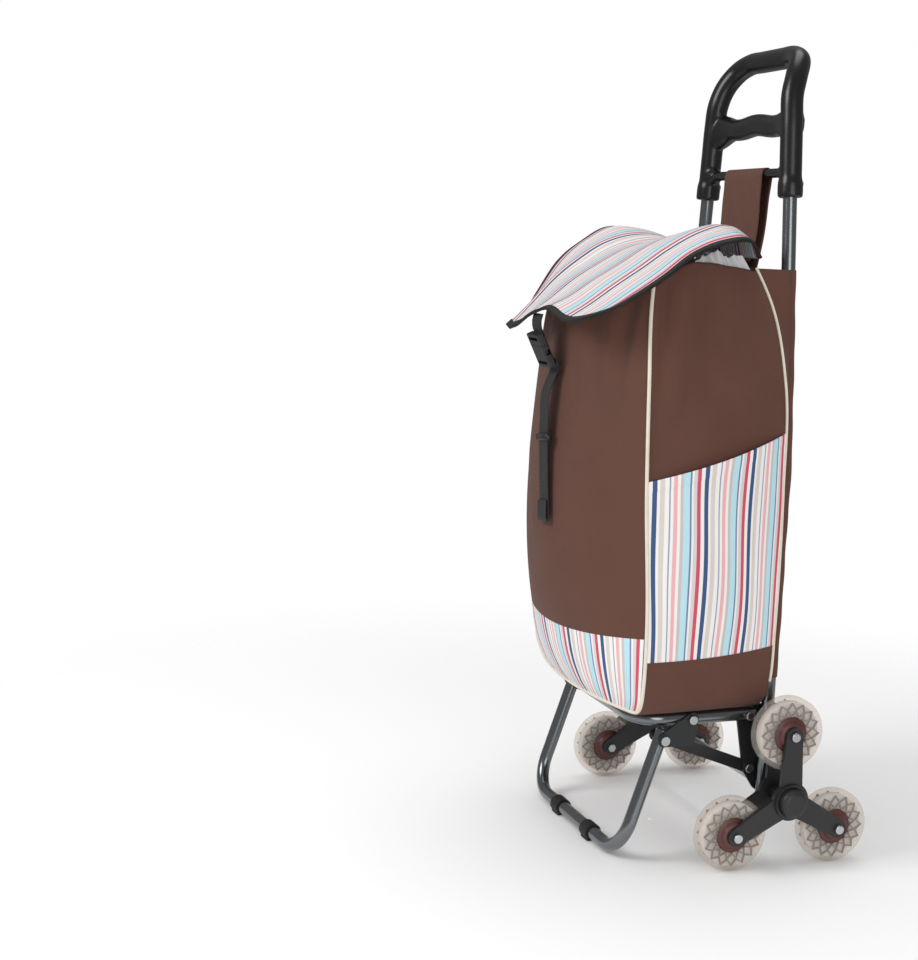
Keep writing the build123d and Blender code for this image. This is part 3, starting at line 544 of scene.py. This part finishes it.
# front and its striped band, which meet at a curved seam
left, middle, right = bag["bandTop"]
across = np.linspace(-1, 1, bag["frontGrid"][0])[None, :]
seam = middle + (right - left) / 2 * across + ((right + left) / 2 - middle) * across**2
s, z = wallGrid(*bag["frontGrid"], seam, rimZ(bag["front"]) - bag["rimDip"] * (1 - across**2))
points = frontWall(2 * s - 1, z)
bagGrid("bagFront", points, brownCloth, ["front_panel"], clothUv(points))
s, z = wallGrid(*bag["bandGrid"], bag["floor"], seam)
points = frontWall(2 * s - 1, z)
bandUv = clothUv(points, bag["bandSway"])
bagGrid("bagBand", points, stripedCloth, ["front_band"], bandUv)

# sides, each with a pocket that gapes at its top: lift = room * 4 s (1 - s) v^3
for side, name in bothSides:
    s, _ = wallGrid(*bag["sideGrid"], 0, 1)
    _, z = wallGrid(*bag["sideGrid"], bag["floor"], rimZ(bag["front"] + (bag["rear"] - bag["front"]) * s))
    points = sideWall(s, z, side)
    bagGrid(name + "BagSide", points, brownCloth, [name + "_side_panel"], clothUv(points), flip=side < 0)
    foot, heel = bag["pocketBottom"]
    low, high = bag["pocketTop"]
    top = low + (high - low) * s[:1]
    s, z = wallGrid(*bag["pocketGrid"], foot + (heel - foot) * s[:1], top)
    v = np.linspace(0, 1, bag["pocketGrid"][1])[:, None]
    gape = bag["pocketRoom"] * v**3 * 4 * s * (1 - s) + bag["pocketLift"]
    hem = bag["hemLift"] * fade((z - top + bag["hemDepth"]) / bag["hemStep"])
    points = sideWall(s, z, side, gape + hem)
    pocketUv = clothUv(points, bag["pocketSway"])
    bagGrid(name + "Pocket", points, stripedPocket, [name + "_pocket"], pocketUv, flip=side < 0)

backRim = rimZ(bag["rear"] - bag["rimBack"])
s, z = wallGrid(*bag["backGrid"], bag["floor"], backRim)
_, _, rearX, rearY, _, _ = bagRow(z)
points = stacked((1 - 2 * s) * rearX, rearY, z)
bagGrid("bagBack", points, brownCloth, ["back_panel"], clothUv(points))

# bottom: x = s * half width at t, y from the curved front edge to the straight back edge
columns, rows = bag["bottomGrid"]
t = np.linspace(0, 1, rows)[:, None]
s = np.linspace(-1, 1, columns)[None, :]
frontX, frontY, rearX, rearY, sideBelly, frontBelly = bagRow(bag["floor"])
x = s * sideLine(t, frontX, rearX, sideBelly)
y = frontLine(s, frontY, frontBelly) * (1 - t) + rearY * t
points = stacked(x, y, bag["floor"])
bagGrid("bagBottom", points, brownCloth, ["bottom_panel"], points[..., :2], flip=True)

# Piping: one cord up each front corner and along the foot of the front, and one up each rear corner
piping = {
    "radius": 2.1, "rearShare": 0.8, "steps": 160,
    "standOff": 0.6, "footRise": 1.5, "topRise": 2.0, "footSteps": 80, "roundings": 6,
    "rearLow": 214.0, "rearRise": 1.0, "rearOut": 0.8, "rearBack": 0.4,
}
footZ = bag["floor"] + piping["footRise"]
z = np.linspace(rimZ(bag["front"]) + piping["topRise"], footZ, piping["steps"])
frontX, frontY, _, _, _, frontBelly = bagRow(z)
corner = stacked(frontX + piping["standOff"], frontY - piping["standOff"], z)
s = np.linspace(1, -1, piping["footSteps"])[1:-1]
footY = frontLine(s, frontY[-1], frontBelly[-1]) - piping["standOff"]
foot = stacked(s * frontX[-1], footY, footZ)
path = np.concatenate([corner, foot, (corner * mirrorX)[::-1]])
for _ in range(piping["roundings"]):
    path[1:-1] = (path[:-2] + 2 * path[1:-1] + path[2:]) / 4
cord = tubeAlong(path, piping["radius"])
bagGrid("frontPiping", cord, pipingCloth, ["front_piping"], wrapColumns=True)
z = np.linspace(piping["rearLow"], backRim + piping["rearRise"], piping["steps"])
_, _, rearX, rearY, _, _ = bagRow(z)
path = stacked(rearX + piping["rearOut"], rearY + piping["rearBack"], z)
cord = tubeAlong(path, piping["radius"] * piping["rearShare"])
bagGrid("rightRearPiping", cord, pipingCloth, ["rear_piping"], wrapColumns=True)
bagGrid("leftRearPiping", cord * mirrorX, pipingCloth, wrapColumns=True, flip=True)
print("bag ready")

# Collar of lining inside the rim: a crumpled ring that stands a little above the panels
collar = {
    "grid": (480, 25), "traceZ": 600.0, "centre": (0.0, -105.0),
    "depth": 55.0, "below": 4.0, "rimFrom": -192.0, "rimTo": -40.0, "ease": 40.0,
    "dip": 22.0, "dipFrom": -175.0, "rise": 17.0, "riseFrom": -130.0,  # lower in front, higher behind
    "inset": 4.0, "lean": 6.0, "folds": 46, "fold": 2.6, "least": 0.4,
    "drift": (2.3, 7), "second": (0.6, 29, 3.0),  # height, count and slant of the uneven folds
    "edge": [(3.0, 17, 1.0), (1.5, 41, 0.0)],  # waves of the top edge: height, count, shift
}


def rimLoop(a, z):
    # once round the bag at height z: a quarter turn each for front, right, back and left
    frontX, frontY, rearX, rearY, sideBelly, frontBelly = bagRow(z)
    part = (a * 4) % 1.0
    which = np.floor(a * 4).astype(int) % 4
    s = 2 * part - 1
    front = stacked(s * frontX, frontLine(s, frontY, frontBelly))
    right = stacked(sideLine(part, frontX, rearX, sideBelly), frontY + (rearY - frontY) * part)
    back = stacked(-s * rearX, rearY)
    left = stacked(-sideLine(part, rearX, frontX, sideBelly), rearY + (frontY - rearY) * part)
    loops = np.stack([front, right, back, left])
    return np.take_along_axis(loops, which[None, ..., None].repeat(2, -1), 0)[0]


columns, rows = collar["grid"]
angle = np.linspace(0, 1, columns, endpoint=False)[None, :]
v = np.linspace(0, 1, rows)[:, None]
around = angle + 0 * v
depthY = rimLoop(around, collar["traceZ"] + 0 * around)[..., 1]
dip = collar["dip"] * fade((collar["dipFrom"] - depthY) / collar["ease"])
top = rimZ(np.clip(depthY, collar["rimFrom"], collar["rimTo"])) - dip - collar["below"]
rise = collar["rise"] * v * fade((depthY - collar["riseFrom"]) / collar["ease"])
z = top - collar["depth"] * (1 - v) + rise
centre = np.array(collar["centre"])
away = rimLoop(around, z) - centre
reach = np.linalg.norm(away, axis=-1, keepdims=True)
driftHeight, driftCount = collar["drift"]
height, count, slant = collar["second"]
wave = ripple(collar["folds"], angle, driftHeight * ripple(driftCount, angle))
wave = wave + height * ripple(count, angle, slant * v)
drawn = collar["inset"] + collar["fold"] * (1 + wave) * (collar["least"] + v) + collar["lean"] * v**2
inside = centre + away * (1 - drawn[..., None] / reach)
z = z + v * sum(height * ripple(count, angle, shift) for height, count, shift in collar["edge"])
points = np.concatenate([inside, z[..., None]], -1)
lining = bagGrid("liningCollar", points, liningCloth, ["lining_collar"], wrapColumns=True)
print("lining ready")

# Flap: flat cut in mm (a across, b from the rear seam), laid over the rows below.
# Each row: y, then z at seven places across from the left edge to the right.
flap = {
    "across": (-160, -110, -50, 0, 50, 105, 160),
    "rows": [
        (-43.5, 702, 702, 702, 702, 702, 702, 702),
        (-54, 718, 718, 714, 715, 726, 730, 712),
        (-76, 728, 728, 721, 723, 734, 737, 718),
        (-110, 734, 729, 719, 718, 727, 729, 715),
        (-146, 714, 715, 709, 707, 710, 710, 702),
        (-180, 687, 691, 690, 688, 687, 686, 678),
        (-212, 648, 663, 668, 668, 667, 664, 658),
        (-243, 612, 630, 640, 645, 646, 642, 640),
        (-271, 600, 606, 613, 629, 632, 625, 630),
    ],
    "grid": (161, 121), "halfWidth": 160.0, "cornerRadius": 58.0, "hem": 3.0, "cloth": 2.0,
    "taper": 0.24, "taperRun": 60.0,  # drawn in at the seam, over this length
    "farShift": 20.0, "farFrom": -60.0, "farRun": 100.0, "farB": 120.0, "farRunB": 140.0,  # left of the lip
    "free": 40.0,  # length from the seam to the first full ripple
    "slow": (1.6, 23.0, 0.6, 40.0), "quick": (1.1, 11.0, 60.0),  # ripples: height, then lengths
    "dent": (3.0, -62.0, 12.0, 0.15, 120.0),  # depth, place, width, lean, and where it leans about
    "binding": 8.0, "bindingThick": 3.6, "bindingLap": 0.8, "bindingRound": 1.1, "bindingColumns": 7,
}
flapTable = np.array(flap["rows"], float)
flapB = lengthAlong(flapTable[:, [0, 4]])
flapLength = flapB[-1]


def flapPoint(a, b):
    # x = a, drawn in towards the seam; y and z from the rows, cubic both ways;
    # slow ripples along and across the cloth, and one soft dent
    shape = np.broadcast(a, b).shape
    a = np.broadcast_to(a, shape).ravel()
    b = np.broadcast_to(b, shape).ravel()
    rowWeights = smooth(b, flapB, np.eye(len(flapB)))
    acrossWeights = smooth(a, flap["across"], np.eye(len(flap["across"])))
    y = rowWeights @ flapTable[:, 0]
    z = np.einsum("pi,ij,pj->p", rowWeights, flapTable[:, 1:], acrossWeights)
    far = fade((flap["farFrom"] - a) / flap["farRun"]) * fade((b - flap["farB"]) / flap["farRunB"])
    y = y + flap["farShift"] * far
    free = fade(b / flap["free"])
    height, wide, bend, bendLong = flap["slow"]
    slow = height * np.sin(a / wide + bend * np.sin(b / bendLong))
    height, wide, long = flap["quick"]
    quick = height * np.sin(a / wide + b / long)
    depth, place, width, lean, pivot = flap["dent"]
    dent = depth * np.exp(-(((a - place + lean * (b - pivot)) / width) ** 2))
    z = z + free * (slow + quick) - free * dent
    x = a * (1 - flap["taper"] * (1 - fade(b / flap["taperRun"])))
    return stacked(x, y, z).reshape(*shape, 3)


def flapEdge(inset, count=260, steps=24):
    # outline of the cut, inset by a margin: back left, down, round both corners, up to back right
    half = flap["halfWidth"] - inset
    end = flapLength - inset
    r = flap["cornerRadius"] - inset
    turn = np.linspace(0, np.pi / 2, steps)
    left = stacked(-half, np.linspace(0, end - r, steps))
    bend = stacked(-half + r - r * np.cos(turn), end - r + r * np.sin(turn))
    line = np.concatenate([left[:-1], bend])
    line = np.concatenate([line, (line * (-1, 1))[::-1]])
    length = lengthAlong(line)
    even = np.linspace(0, length[-1], count)
    return stacked(np.interp(even, length, line[:, 0]), np.interp(even, length, line[:, 1]))


columns, rows = flap["grid"]
end = flapLength - flap["hem"]
r = flap["cornerRadius"] - flap["hem"]
b = np.linspace(0, end, rows)[:, None]
short = np.clip(r - (end - b), 0, None)
half = flap["halfWidth"] - flap["hem"] - r + np.sqrt(r**2 - short**2)
a = half * np.linspace(-1, 1, columns)[None, :]
cut = stacked(a, b)
flapSheet = makeGrid("flapCloth", flapPoint(a, b), stripedFlapPaintedShade, ["flap"], cut, "flap", flip=True)
thicken(flapSheet, flap["cloth"], 0.0)

# binding: tape over the edge, between the cut's outline and a line inside it
outer = flapEdge(-flap["bindingLap"])
inner = flapEdge(flap["binding"])
k = np.linspace(0, 1, flap["bindingColumns"])[None, :]
tape = outer[:, None] * (1 - k[..., None]) + inner[:, None] * k[..., None]
along = lengthAlong(outer)[:, None]
tapeUv = stacked(k * flap["binding"], along)
points = flapPoint(tape[..., 0], np.clip(tape[..., 1], 0, flapLength))
binding = makeGrid("flapBinding", points, bindingTape, ["flap_binding"], tapeUv, "flap")
thicken(binding, flap["bindingThick"], 0.0)
roundEdges(binding, flap["bindingRound"])
print("flap ready")

# Sleeves of the carrier: round each upright, with slack wrinkles, and a wing to the bag's back corner
sleeve = {
    "low": 214.0, "high": 690.0, "radius": 9.1, "cloth": 1.2, "grid": (32, 150),
    "x": 127.6, "bendZ": 470.0, "bendRadius": 260.0, "lean": 5.0,  # the upright inside it
    "wrinkle": 0.3, "wrinkleLength": 9.0, "wrinkleTwist": 2.0, "sag": 0.2, "sagLength": 23.0,
    "wingOut": 8.6, "wingY": -2.0, "wingWidth": 20.0, "wingColumns": 9,
}
carrier = {
    "low": 560.0, "y": -9.8, "cloth": 1.6, "grid": (61, 41), "wave": 1.2, "waveAcross": 21.0, "waveUp": 30.0,
}


def uprightX(z):
    # vertical to the bend, an arc, then leaning in
    lean = math.radians(sleeve["lean"])
    arc = sleeve["bendRadius"]
    start = sleeve["bendZ"] - arc * math.tan(lean / 2)
    rise = np.clip(z - start, 0, arc * math.sin(lean))
    bent = arc - np.sqrt(arc**2 - rise**2)
    return sleeve["x"] - bent - np.clip(z - start - arc * math.sin(lean), 0, None) * math.tan(lean)


columns, rows = sleeve["grid"]
z = np.linspace(sleeve["low"], sleeve["high"], rows)[:, None]
turn = fullTurn(columns)
slack = sleeve["wrinkle"] * np.sin(z / sleeve["wrinkleLength"] + sleeve["wrinkleTwist"] * np.sin(turn))
slack = slack + sleeve["sag"] * np.sin(z / sleeve["sagLength"] + turn)
radius = sleeve["radius"] + slack
upX = uprightX(z)
tube = stacked(upX + radius * np.cos(turn), radius * np.sin(turn), z)
tubeUv = stacked(sleeve["radius"] * turn, z)
_, _, rearX, rearY, _, _ = bagRow(z)
k = np.linspace(0, 1, sleeve["wingColumns"])[None, :]
wingX = rearX * (1 - k) + (upX + sleeve["wingOut"]) * k
wing = stacked(wingX, rearY * (1 - k) + sleeve["wingY"] * k, z)
wingUv = stacked(sleeve["wingWidth"] * k, z)
for side, name in bothSides:
    piece = makeGrid(name + "Sleeve", tube * (side, 1, 1), brownCloth, uv=tubeUv, wrapColumns=True,
                     flip=side < 0)
    thicken(piece, sleeve["cloth"])
    piece = makeGrid(name + "Wing", wing * (side, 1, 1), brownCloth, uv=wingUv, flip=side > 0)
    thicken(piece, sleeve["cloth"], 0.0)
s, z = wallGrid(*carrier["grid"], carrier["low"], sleeve["high"])
y = carrier["y"] + carrier["wave"] * np.sin(s * carrier["waveAcross"] + z / carrier["waveUp"])
points = stacked((1 - 2 * s) * uprightX(z), y, z)
piece = makeGrid("carrierSheet", points, brownCloth, ["carrier_panel"], clothUv(points))
thicken(piece, carrier["cloth"], 0.0)

# Hanging loop: up from the flap seam, over the rod and down to the carrier
loop = {
    "halfWidth": 45.0, "cloth": 1.5, "columns": 41, "steps": 40, "bendSteps": 15,
    "rodZ": 801.0, "rodRadius": 6.4, "layerY": 6.9, "layerTop": 799.0,
    "frontLow": 698.0, "frontSwing": 9.0, "rearLow": 678.0, "rearFoot": -7.2, "rearBelly": 1.5,
    "wrinkle": 0.8, "wrinkleAcross": 9.0, "wrinkleUp": 17.0, "wrinkleTop": 796.0, "wrinkleRun": 30.0,
}
bend = np.linspace(np.pi, 0, loop["bendSteps"])
over = stacked(loop["rodRadius"] * np.cos(bend), loop["rodZ"] + loop["rodRadius"] * np.sin(bend))
rise = np.linspace(0, 1, loop["steps"])
up = stacked(-loop["layerY"] - loop["frontSwing"] * (1 - rise) ** 3,
             loop["frontLow"] + (loop["layerTop"] - loop["frontLow"]) * rise)
rearY = np.linspace(loop["layerY"], loop["rearFoot"], loop["steps"])
rearY = rearY + loop["rearBelly"] * np.sin(np.pi * rise)
down = stacked(rearY, np.linspace(loop["layerTop"], loop["rearLow"], loop["steps"]))
line = np.concatenate([up, over, down])
runs = lengthAlong(line)[:, None]
across = np.linspace(-1, 1, loop["columns"])[None, :]
y, z = line[:, :1], line[:, 1:]
x = loop["halfWidth"] * across
wrinkle = loop["wrinkle"] * np.sin(across * loop["wrinkleAcross"] + z / loop["wrinkleUp"])
wrinkle = wrinkle * fade((loop["wrinkleTop"] - z) / loop["wrinkleRun"])
points = stacked(x, y + wrinkle, z)
loopUv = stacked(x, runs)
loopPiece = makeGrid("hangingLoop", points, brownCloth, ["hanging_loop"], loopUv)
thicken(loopPiece, loop["cloth"], 0.0)
print("carrier and loop ready")

# Handle: legs, upper grip, second bar and rod bosses drawn as tubes, then melted together with soft fillets
handle = {
    "radius": 13.0, "barRadius": 13.2, "tip": 0.1,
    "gripSteps": 240, "barSteps": 120, "sides": 40, "bossSides": 32, "grain": 1.6, "melt": 14,
    "legs": (772.0, 800.0, 830.0, 862.0),
    "grip": [(89.6, 1, 888), (84, 8, 911), (71, 18, 929), (50, 23, 936.5), (25, 24, 937), (0, 24, 937)],
    "bar": [(93, 4, 854), (70, 7, 857), (38, 8, 856.5), (0, 8, 860)],
    "cuff": 1.6, "cuffLength": 24.0, "cuffEase": 8.0,  # thicker foot of each leg
    "flare": 8.0, "flareFrom": 52.0, "flareRun": 34.0,  # the bar grows towards the legs
    "boss": [(0, 0.1), (0.1, 11.5), (13, 10.5), (17, 8.6), (21, 7.6), (21.1, 0.1)],  # in from the leg, radius
}


def rodLine(path, count):
    # even steps along a smooth path, with one more short step at each end to close the tube
    runs = lengthAlong(path)
    even = np.linspace(handle["tip"], runs[-1] - handle["tip"], count)
    even = np.concatenate([[0], even, [runs[-1]]])
    return even, smooth(even, runs, path)


legZ = np.array(handle["legs"])
legs = stacked(uprightX(legZ), 0, legZ)
even, line = rodLine(withMirror(np.concatenate([legs, np.array(handle["grip"], float)])), handle["gripSteps"])
fromEnd = np.minimum(even, even[-1] - even)
radius = handle["radius"] + handle["cuff"] * fade((handle["cuffLength"] - fromEnd) / handle["cuffEase"])
radius[[0, -1]] = handle["tip"]
tubes = [tubeAlong(line, radius, handle["sides"])]
even, line = rodLine(withMirror(np.array(handle["bar"], float)), handle["barSteps"])
grow = fade((np.abs(line[:, 0]) - handle["flareFrom"]) / handle["flareRun"])
radius = handle["barRadius"] + handle["flare"] * grow
radius[[0, -1]] = handle["tip"]
bar = tubeAlong(line, radius, handle["sides"])
# the flare is upright only: depth held to the bar's own
barY = line[1:-1, 1:2]
bar[1:-1, :, 1] = barY + (bar[1:-1, :, 1] - barY) * (handle["barRadius"] / radius[1:-1])[:, None]
inward, radius = np.array(handle["boss"], float).T
bossX = float(uprightX(loop["rodZ"])) - inward
boss = tubeAlong(stacked(bossX, 0, loop["rodZ"]), radius, handle["bossSides"])
tubes += [bar, boss, (boss * mirrorX)[::-1]]
points, faces = joinGrids(tubes, wrapColumns=True)
handlePiece = makePiece("gripHandle", points, faces, handlePlastic, ["handle"])
melt = handlePiece.modifiers.new("melt", "REMESH")
melt.mode = "VOXEL"
melt.voxel_size = handle["grain"] / 1000
melt.use_smooth_shade = True
ease = handlePiece.modifiers.new("ease", "SMOOTH")
ease.factor = 0.5
ease.iterations = handle["melt"]
settle(handlePiece)
print("handle ready", len(handlePiece.data.polygons))

# Straps: the tab hangs from the flap's lip, the strap from the buckle's lower half. Lines are (y, z).
strap = {
    "width": 25.0, "thick": 1.6, "tabLayers": 1.6, "rounding": 0.6,
    "columns": 13, "step": 2.5, "leastSteps": 12,
    "slant": 6.0, "top": (3.0, 574.0),  # x and z that it leans about
    "line": [(-245.6, 576), (-241.6, 566), (-246.5, 553), (-252.4, 538), (-254.6, 505), (-254.8, 450),
             (-253.6, 405), (-253.2, 388)],
    "fold": [(-253.2, 386), (-255.4, 385.6), (-256.2, 388), (-256.4, 398), (-256.5, 410)],
    "tab": [(-264.5, 628), (-266.4, 621), (-266.0, 613), (-261.2, 602.5)],
}


def leaned(x, y, z, slant):
    # points turned sideways about the strap's top
    lean = math.radians(slant)
    topX, topZ = strap["top"]
    side = topX + x * math.cos(lean) + (topZ - z) * math.sin(lean)
    return stacked(side, y, topZ - (topZ - z) * math.cos(lean) + x * math.sin(lean))


def ribbon(name, line, thick, nodes, slant, body="frame"):
    # line of (y, z) points made into a flat tape
    line = np.asarray(line, float)
    runs = lengthAlong(line)
    even = np.linspace(0, runs[-1], max(strap["leastSteps"], int(runs[-1] / strap["step"])))[:, None]
    y = smooth(even, runs, line[:, 0])
    z = smooth(even, runs, line[:, 1])
    a = (strap["width"] / 2 * np.linspace(-1, 1, strap["columns"]))[None, :]
    piece = makeGrid(name, leaned(a, y, z, slant), webbing, nodes, stacked(a, even), body)
    thicken(piece, thick, 0.0)
    roundEdges(piece, strap["rounding"])


ribbon("buckleStrap", strap["line"], strap["thick"], ["buckle_strap"], strap["slant"])
ribbon("strapFold", strap["fold"], strap["thick"], [], strap["slant"])
ribbon("buckleTab", strap["tab"], strap["thick"] * strap["tabLayers"], ["buckle_tab"], 0.0, "flap")

# keeper: a flat plastic ring round the strap, leaned with it; the section is (up, out)
keeper = {
    "z": 484.0, "y": -254.8, "growX": 8.0, "growY": 3.2,
    "outline": [(-14, 3.2), (14, 3.2), (15.2, 2.2), (15.2, -2.2),
                (14, -3.2), (-14, -3.2), (-15.2, -2.2), (-15.2, 2.2)],
    "section": [(-4.0, 0.0), (-3.2, 0.8), (3.2, 0.8), (4.0, 0.0), (3.2, -0.5), (-3.2, -0.5)],
}
outline = np.array(keeper["outline"])
up, out = np.array(keeper["section"]).T[:, None]
x = outline[:, :1] * (1 + out / keeper["growX"])
y = keeper["y"] + outline[:, 1:] * (1 + out / keeper["growY"])
points = leaned(x, y, keeper["z"] + up, strap["slant"])
makeGrid("strapKeeper", points, bucklePlastic, ["strap_keeper"], wrapRows=True, wrapColumns=True)
print("straps ready")

# Wheels: brown hub, a ring of zigzag lattice and a clear tyre round it. Profiles are (x, radius), one half.
wheel = {
    "radius": 43.5, "width": 23.0, "round": 7.0, "roundSteps": 9,
    "hub": [(-13.4, 4.3), (-13.6, 6), (-13.6, 13.6), (-12.6, 14.8), (-9.8, 15.4), (-9.4, 16.2), (-9.4, 19.8),
            (-8.6, 20.6)],
    "web": [(-5.5, 20.4), (-5.5, 36.8), (-5.0, 37.3)],
    "bead": [(9.6, 20.9), (10.6, 22.0)],
    "teeth": 16,
    "rings": ((21.4, 28.6, 0), (29.6, 36.6, 1)),  # inner radius, outer radius, shift in half teeth
    "ringX": 8.6, "barDepth": 1.2, "barHeight": 1.0,
}


def bothFaces(half):
    # half a profile and its mirror image on the wheel's other face
    return np.concatenate([half, (np.asarray(half, float) * (-1, 1))[::-1]])


def latticeRing(low, high, phase, at, centre):
    # zigzag between two radii: r = low or high at each half tooth, as a thin band near one face
    count = 2 * wheel["teeth"]
    angle = (2 * np.pi * (np.arange(count) + phase) / count)[:, None]
    depth = wheel["barDepth"] * np.array([[-1, 1, 1, -1]])
    r = np.where(np.arange(count) % 2 == 0, low, high)[:, None]
    r = r + wheel["barHeight"] * np.array([[-1, -1, 1, 1]])
    return spun(at + depth, r, angle, centre)


bend = np.linspace(0, np.pi / 2, wheel["roundSteps"])
shoulder = stacked(wheel["width"] / 2 - wheel["round"] + wheel["round"] * np.cos(bend),
                   wheel["radius"] - wheel["round"] + wheel["round"] * np.sin(bend))
hubProfile = bothFaces(wheel["hub"])
webProfile = bothFaces(wheel["web"])
tyreProfile = bothFaces(np.concatenate([wheel["bead"], shoulder]))
closed = {"wrapRows": True, "wrapColumns": True}
for _, sideName in bothSides:
    for place in ("top", "front", "rear"):
        name = sideName + place.capitalize()
        node = sideName + "_" + place
        body = node + "_wheel"
        centre = jointPlaces[node + "_spin"] - (0.0, axleY, 0.0)
        makeGrid(name + "Hub", lathe(hubProfile, centre), hubPlastic, [node + "_hub"], body=body, **closed)
        rings = [latticeRing(*ring, face * wheel["ringX"], centre)
                 for ring in wheel["rings"] for face in (-1, 1)]
        points, faces = joinGrids(rings, **closed)
        lattice = makePiece(name + "Lattice", points, faces, latticePlastic, body=body)
        lattice.data.polygons.foreach_set("use_smooth", np.zeros(len(faces), bool))
        makeGrid(name + "Web", lathe(webProfile, centre), webPlastic, body=body, **closed)
        makeGrid(name + "Tyre", lathe(tyreProfile, centre), tyreVinyl, [node + "_tyre"], body=body, flip=True,
                 **closed)
print("wheels ready")

# the bag's panels get their thickness; cords and lining have their own form
for piece in bagPieces:
    if piece.data.materials[0] not in (pipingCloth, liningCloth):
        settle(thicken(piece, bag["cloth"]))
    gathersUp(piece)

# Floor, light and camera. Lights, in metres: place, power, size; all look at the same point.
stage = {
    "floorRadius": 1400.0, "floorDrop": 0.5, "floorGrid": (64, 12), "fadeFrom": 0.5, "fadeTo": 1.35,
    "sky": 0.64, "mirror": 0.28, "aim": (0, 0, 0.5),
    "lights": {
        "key": ((0.1, -2.3, 1.9), 34.0, 1.3),
        "fill": ((2.4, -0.3, 0.7), 17.0, 1.6),
        "top": ((-0.3, 0.2, 2.6), 13.0, 1.4),
    },
}
columns, rows = stage["floorGrid"]
turn = fullTurn(columns)
reach = (np.linspace(0.001, 1, rows) * stage["floorRadius"])[:, None]
disc = stacked(reach * np.cos(turn), reach * np.sin(turn) - axleY, -stage["floorDrop"])
# white studio floor: matt, fading into the backdrop
floorMaterial, tree, shader = newMaterial("white studio floor", Roughness=0.9, Base_Color=colour("#f6f6f6"))
coords = addNode(tree, "ShaderNodeTexCoord").outputs["Object"]
length = addNode(tree, "ShaderNodeVectorMath", {0: coords}, operation="LENGTH").outputs["Value"]
addNode(tree, "ShaderNodeMapRange", {0: length, 1: stage["fadeFrom"], 2: stage["fadeTo"], 3: 1.0, 4: 0.0},
        shader.inputs["Alpha"], interpolation_type="SMOOTHSTEP")
floorFaces = gridFaces(rows, columns, wrapColumns=True, flip=True)
makeObject("floor", disc.reshape(-1, 3), floorFaces, floorMaterial)

world = bpy.data.worlds.new("studio")
bpy.context.scene.world = world
world.use_nodes = True
tree = world.node_tree
background = tree.nodes["Background"].inputs
background["Color"].default_value = (1, 1, 1, 1)
paths = addNode(tree, "ShaderNodeLightPath").outputs
mirrored = addNode(tree, "ShaderNodeMix", {0: paths["Is Glossy Ray"], 2: stage["sky"], 3: stage["mirror"]},
                   data_type="FLOAT")
addNode(tree, "ShaderNodeMix", {0: paths["Is Camera Ray"], 2: mirrored.outputs[0], 3: 1.0},
        background["Strength"], data_type="FLOAT")

for name, (place, power, size) in stage["lights"].items():
    light = bpy.data.lights.new(name, "AREA")
    light.energy = power
    light.shape = "DISK"
    light.size = size
    lamp = bpy.data.objects.new(name, light)
    lamp.location = place
    direction = np.array(stage["aim"]) - np.array(place)
    yaw = math.atan2(direction[1], direction[0])
    tilt = math.atan2(math.hypot(direction[0], direction[1]), -direction[2])
    lamp.rotation_euler = (tilt, 0, yaw - math.pi / 2)
    bpy.context.scene.collection.objects.link(lamp)

# camera fitted to the photo's turned view
view = {"place": (1780.4, -981.5, 698.6), "turn": (81.963, -2.294, 70.898), "lens": 64.17, "sensor": 36.0}
lens = bpy.data.cameras.new("camera")
lens.lens = view["lens"]
lens.sensor_width = view["sensor"]
lens.sensor_fit = "HORIZONTAL"
camera = bpy.data.objects.new("camera", lens)
camera.location = toMetres(view["place"]).tolist()
camera.rotation_euler = [math.radians(v) for v in view["turn"]]
bpy.context.scene.collection.objects.link(camera)
bpy.context.scene.camera = camera
bpy.context.scene.view_settings.view_transform = "Standard"
print("stage ready")
